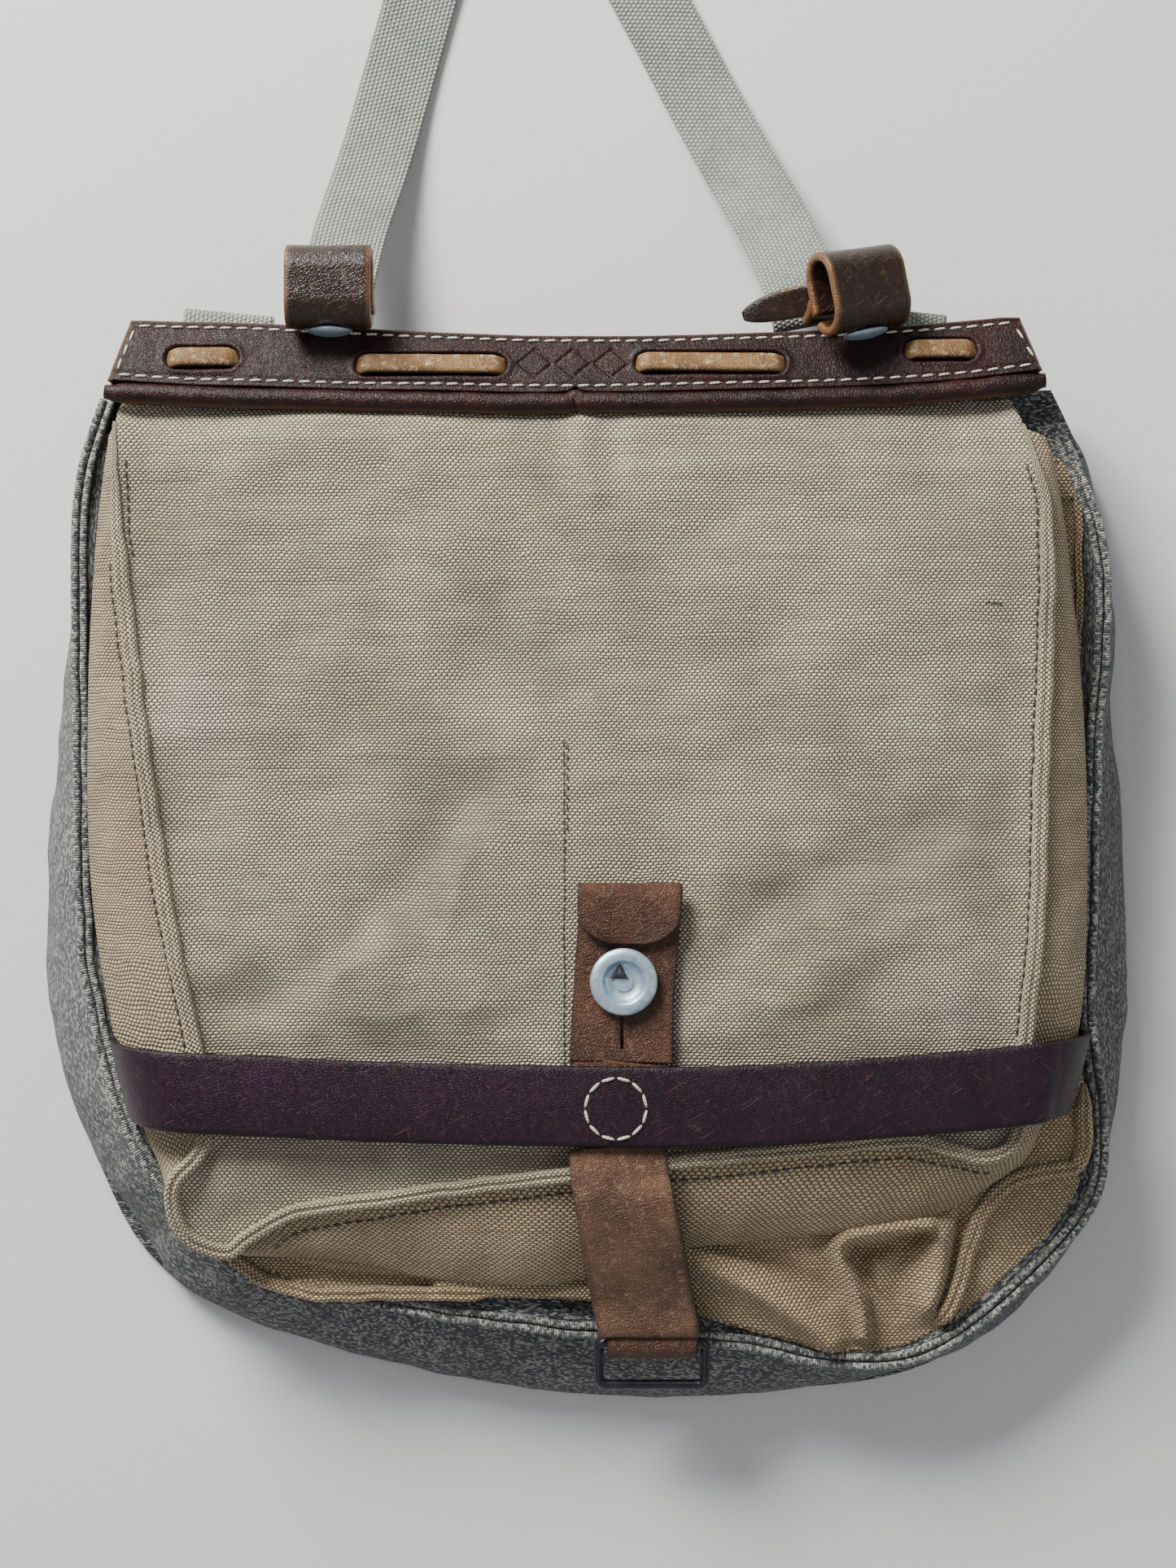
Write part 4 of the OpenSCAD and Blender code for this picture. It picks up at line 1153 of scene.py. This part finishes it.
def metal_finish(name, base, dull, roughness, metallic=1.0):
    f = Finish(name, roughness, Metallic=metallic)
    spot = f.object_mm()
    haze = f.noise(spot, 0.5, 5, 0.7)
    lines = f.noise(f.stretch(spot, (0.2, 3.0, 3.0)), 1.0, 3, 0.7)
    pits = f.ramp(f.noise(spot, 2.2, 3, 0.6), (0.66, 0.0), (0.72, 1.0))
    colour = f.mix(f.ramp(haze, (0.35, 0.0), (0.7, 1.0)), base, dull)
    colour = f.mix(f.times(pits, 0.5), colour, dull)
    rough = f.math("MULTIPLY_ADD", haze, 0.3, roughness - 0.1)
    return f.finish(colour, f.plus(lines, haze), 0.00005, rough)


aluminium = metal_finish("stud_aluminium", (0.62, 0.78, 0.90), (0.30, 0.40, 0.50), 0.38, 0.75)
black_lacquer = metal_finish("black_lacquered_wire", (0.004, 0.005, 0.009), (0.012, 0.014, 0.022), 0.26, 0.0)
for side, middle, twist, tip in (("left", (-81, 180.5, 50.5), 0, 0), ("right", (84.5, 179.5, 51.0), 11, 24)):
    node = f"loop_{side}"
    twist = Matrix.Rotation(math.radians(twist), 3, "Z")
    turned = np.array(twist @ Matrix.Rotation(math.radians(tip), 3, "Y"))
    flat = loop_line(90)
    line = np.stack([0 * flat[:, 0], flat[:, 0], flat[:, 1]], 1) @ turned.T + np.array(middle)
    loop = swept(f"belt_{node}", line, turned[:, 0], band_section(loop_wide, loop_thick, 0.2, 14, 0.8))
    dress(loop, loop_leather, node, "brown_leather", node)
    face = np.array(twist @ Vector((0, -1, 0)))
    at = np.array(middle) + face * 13.1 + np.array((0, 0, -3.2))
    spun(f"belt_stud_{side}", [(0, 1.9), (2.6, 1.8), (5.2, 1.3), (6.9, 0.6), (7.2, 0.1), (6.8, -0.3), (2.1, -0.4),
        (2.1, -3.2), (0, -3.3)], 40, at, face, aluminium, node, "bright_metal", f"loop_stud_{side}")

# The right loop's tongue reaches out to the left under the webbing
tongue_line = np.array([(84, 178.5, 43.5), (74, 178, 43), (66, 177, 42.2), (58, 175.4, 41), (49, 173, 39.4)])
tongue_line = evenly(flowing(tongue_line, 8), 40)


def round_end(t, reach, power, least):
    """The width of a strap that ends in a half round."""
    return np.where(t < 0.5, 1, np.sqrt(np.clip(1 - ((t - 0.5) / reach) ** power, least, 1)))


tongue = swept("belt_loop_tongue", tongue_line, (0, 1, 0.3), band_section(10, 2.2, 0.2, 10, 0.8),
    shape=scaled(lambda t: round_end(t, 0.52, 2, 0.02), np.ones_like))
dress(tongue, loop_leather, "loop_right", "brown_leather")


# ---- The cross strap -----------------------------------------------------------------------------------
# A long strap of dark burgundy leather over the flap. Its ends go down between the rim and the pouch,
# and a ring of white stitches holds it to the closing strap underneath.
cross_course = [(-147, -66.5, 26), (-147.2, -67, 34), (-146.6, -68, 42), (-143, -69, 50), (-136, -70, 56.6),
    (-126.5, -70.6, 60.4), (-105, -71.4, 61.3), (-60, -73.4, 61.9), (0, -74.6, 62.5), (40, -74.6, 62.4),
    (80, -72.8, 62.0), (112, -70.4, 61.7), (137, -68, 61.0), (146, -66.8, 56.2), (152.5, -66, 48.5),
    (154.5, -65.6, 41), (154.6, -65.2, 34), (154.2, -65, 26)]
cross_line = evenly(flowing(cross_course, 14), 280)
cross_line[:, 2] += 0.35 * ripple(cross_line[:, 0], 0 * cross_line[:, 0], 30, 91)
cross_skew = 0.26 * np.clip((np.abs(cross_line[:, 0]) - 105) / 45, 0, 1) * np.sign(cross_line[:, 0])
cross_side = np.stack([cross_skew, np.ones(len(cross_line)), 0 * cross_skew], 1)
cross = swept("cross_strap_leather", cross_line[::-1], cross_side[::-1], band_section(25, 2.2, 0.35, 22, 0.8))
dress(cross, strap_leather, "bag", "dark_leather", "cross_strap")

ring_turn = np.linspace(0, 2 * math.pi, 121)
stitch_ring = 9.3
ring_x, ring_y = 8.6 + stitch_ring * np.cos(ring_turn), -75.2 + stitch_ring * np.sin(ring_turn)
ring_z = np.interp(ring_x, cross_line[:, 0], cross_line[:, 2]) + 1.42
running_stitch("strap_ring_stitches", np.stack([ring_x, ring_y, ring_z], 1), 0.12, 4.2, 1.05, 4.86,
    white_thread, "bag")
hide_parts("strap_stitch_ring")


# ---- The closing strap -----------------------------------------------------------------------------------
# One strap of softer brown leather in three lengths: a fixed middle under the cross strap, a tab with a
# slit that buttons over the stud, its end folded back as a pull, and a tail that hangs to the ring.
def strap_length(name, course, width, thick, count, body, *nodes, shape=None, material=tan_leather, crown=0.25):
    line = evenly(flowing(course, 12), count)
    piece = swept(name, line[::-1], (1, 0, 0), band_section(width, thick, crown, 30, 0.8), shape=shape)
    # across a strap that runs down the bag, its side lies along x
    return dress(piece, material, body, "brown_leather", *nodes)


strap_length("closing_strap_middle", [(10.2, -60.9, 59.9), (9, -74, 59.9), (8.6, -86.2, 59.9)], 31.6, 2.2, 30,
    "bag", "closure_strap")


tab_line = evenly(flowing([(13.2, -8.2, 60.6), (12.4, -22, 60.4), (11.3, -36, 60.2), (10.6, -50, 60.2),
    (10.3, -61, 60.2)], 12), 110)
tab_piece = swept("closing_tab_leather", tab_line, (1, 0, 0), band_section(32.2, 2.3, 0.15, 34, 0.8),
    shape=scaled(lambda t: np.interp(t, [0, 0.6, 1], [0.99, 0.975, 1.0]), np.ones_like))
# The keyhole fits the stud's post, with a slit below it to let the flange through
stud_x, stud_y = 11, -36
deselect()
bpy.ops.mesh.primitive_cylinder_add(vertices=40, radius=3.5 * MM, depth=0.01,
    location=(stud_x * MM, stud_y * MM, 60 * MM))
keyhole = bpy.context.object
bpy.ops.mesh.primitive_cube_add(size=1, location=(10.5 * MM, -47.5 * MM, 60 * MM),
    scale=(1.0 * MM, 19 * MM, 0.01))
slit = bpy.context.object
for cutter in (keyhole, slit):
    bpy.context.view_layer.objects.active = tab_piece
    cut = tab_piece.modifiers.new("slit", "BOOLEAN")
    cut.operation = "DIFFERENCE"
    cut.solver = "EXACT"
    cut.object = cutter
    bpy.ops.object.modifier_apply(modifier=cut.name)
    bpy.data.objects.remove(cutter)
dress(tab_piece, tan_leather, "closing_tab", "brown_leather", "closure_tab")

pull_line = evenly(flowing([(13.2, -9.0, 60.6), (13.2, -7.0, 61.5), (13.1, -6.9, 63.0), (13.0, -9.0, 64.2),
    (12.8, -13.5, 64.5), (12.6, -18.5, 64.0), (12.5, -24.2, 63.4)], 10), 70)
pull = swept("closing_tab_pull", pull_line, (-1, 0, 0), band_section(32.4, 2.2, 0.1, 30, 0.8),
    shape=scaled(lambda t: round_end(t, 0.53, 2.4, 0.01), lambda t: np.interp(t, [0, 0.8, 1], [1, 1, 0.6])))
dress(pull, tan_leather, "closing_tab", "brown_leather", "tab_tongue")


strap_length("closing_tail_leather", [(8.6, -87, 59.1), (9.1, -91, 59.7), (9.8, -96.5, 60.4), (11.4, -105, 60.1),
    (14.5, -122, 53.4), (17, -136, 46.8), (19, -146.5, 43.8), (19.2, -148.6, 42.7)], 32, 2.4, 110,
    "closing_tail", "closure_tail", material=tail_leather,
    shape=scaled(lambda t: np.interp(t, [0, 0.5, 1], [1.0, 1.0, 0.93]), np.ones_like))


# ---- The stud ------------------------------------------------------------------------------------------
# A turned aluminium button: a flat flange with a sunken cup, on a post through the flap, and a washer.
spun("stud_cap", [(0, 0.7), (3.4, 0.7), (4.9, 0.9), (5.8, 1.5), (6.3, 2.5), (6.6, 3.2), (7.1, 3.5), (9.0, 3.3),
    (10.0, 2.9), (10.4, 2.3), (10.3, 1.7), (9.6, 1.4), (8.0, 1.2), (7.4, 0.2), (3.02, 0.0), (2.9, 0.4), (0, 0.4)],
    72, (stud_x, stud_y, 61.9), (0, 0, 1), aluminium, "flap", "bright_metal", "stud_head")
for metal_node in ("stud_post", "stud_washer"):
    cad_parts[metal_node].data.materials.clear()
    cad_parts[metal_node].data.materials.append(aluminium)
# Painted shade: a dark three-cornered piece in the cup stands for the shaded hole in the stud.
pin_hole_shade = metal_finish("pin_hole_shade", (0.018, 0.02, 0.024), (0.06, 0.065, 0.07), 0.45, 0.4)
spun("stud_hole_shade", [(0, 1.9), (1.2, 1.7), (3.0, 0.9), (3.2, 0.0), (0, -0.1)], 3, (9.9, -33.6, 62.5), (0, 0, 1),
    pin_hole_shade, "flap", "bright_metal", start=math.pi / 2)


# ---- The ring and its chape -------------------------------------------------------------------------------
# A narrow fold of the same leather under the strap's end carries a rectangular ring of black wire.
chape_line = evenly(flowing([(20.3, -140, 40.6), (20.3, -147, 41.2), (20.3, -152, 42.2), (20.3, -155.2, 40.8),
    (20.3, -155.6, 38.0), (20.3, -152.8, 36.2), (20.3, -148, 36.0), (20.3, -141, 38.2)], 12), 80)
chape = swept("ring_chape", chape_line, (-1, 0, 0), band_section(28.6, 1.9, 0.1, 24, 0.8))
dress(chape, tan_leather, "closing_tail", "brown_leather", "chape")

ring_half, ring_drop, ring_bend = 16.9, 15.8, 2.5
corner = np.radians(np.linspace(0, 90, 9))
reach, lower = ring_half - ring_bend, ring_bend - ring_drop
ring_flat = np.vstack([np.stack([x + ring_bend * np.cos(corner + quarter * math.pi / 2),
    y + ring_bend * np.sin(corner + quarter * math.pi / 2)], 1) for quarter, (x, y) in enumerate(
        [(reach, -ring_bend), (-reach, -ring_bend), (-reach, lower), (reach, lower)])])
ring_lay = math.radians(22)
ring_points = np.stack([20.3 + ring_flat[:, 0], -151.5 + ring_flat[:, 1] * math.cos(ring_lay),
    39.4 + ring_flat[:, 1] * math.sin(ring_lay)], 1)
ring = swept("black_ring", ring_points, (0, math.sin(ring_lay), -math.cos(ring_lay)), round_section(1.6, 1.6, 14),
    closed=True)
dress(ring, black_lacquer, "ring", "black_metal", "ring")


# ---- The size of the whole -----------------------------------------------------------------------------
# The finished bag's box.
low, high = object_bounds()
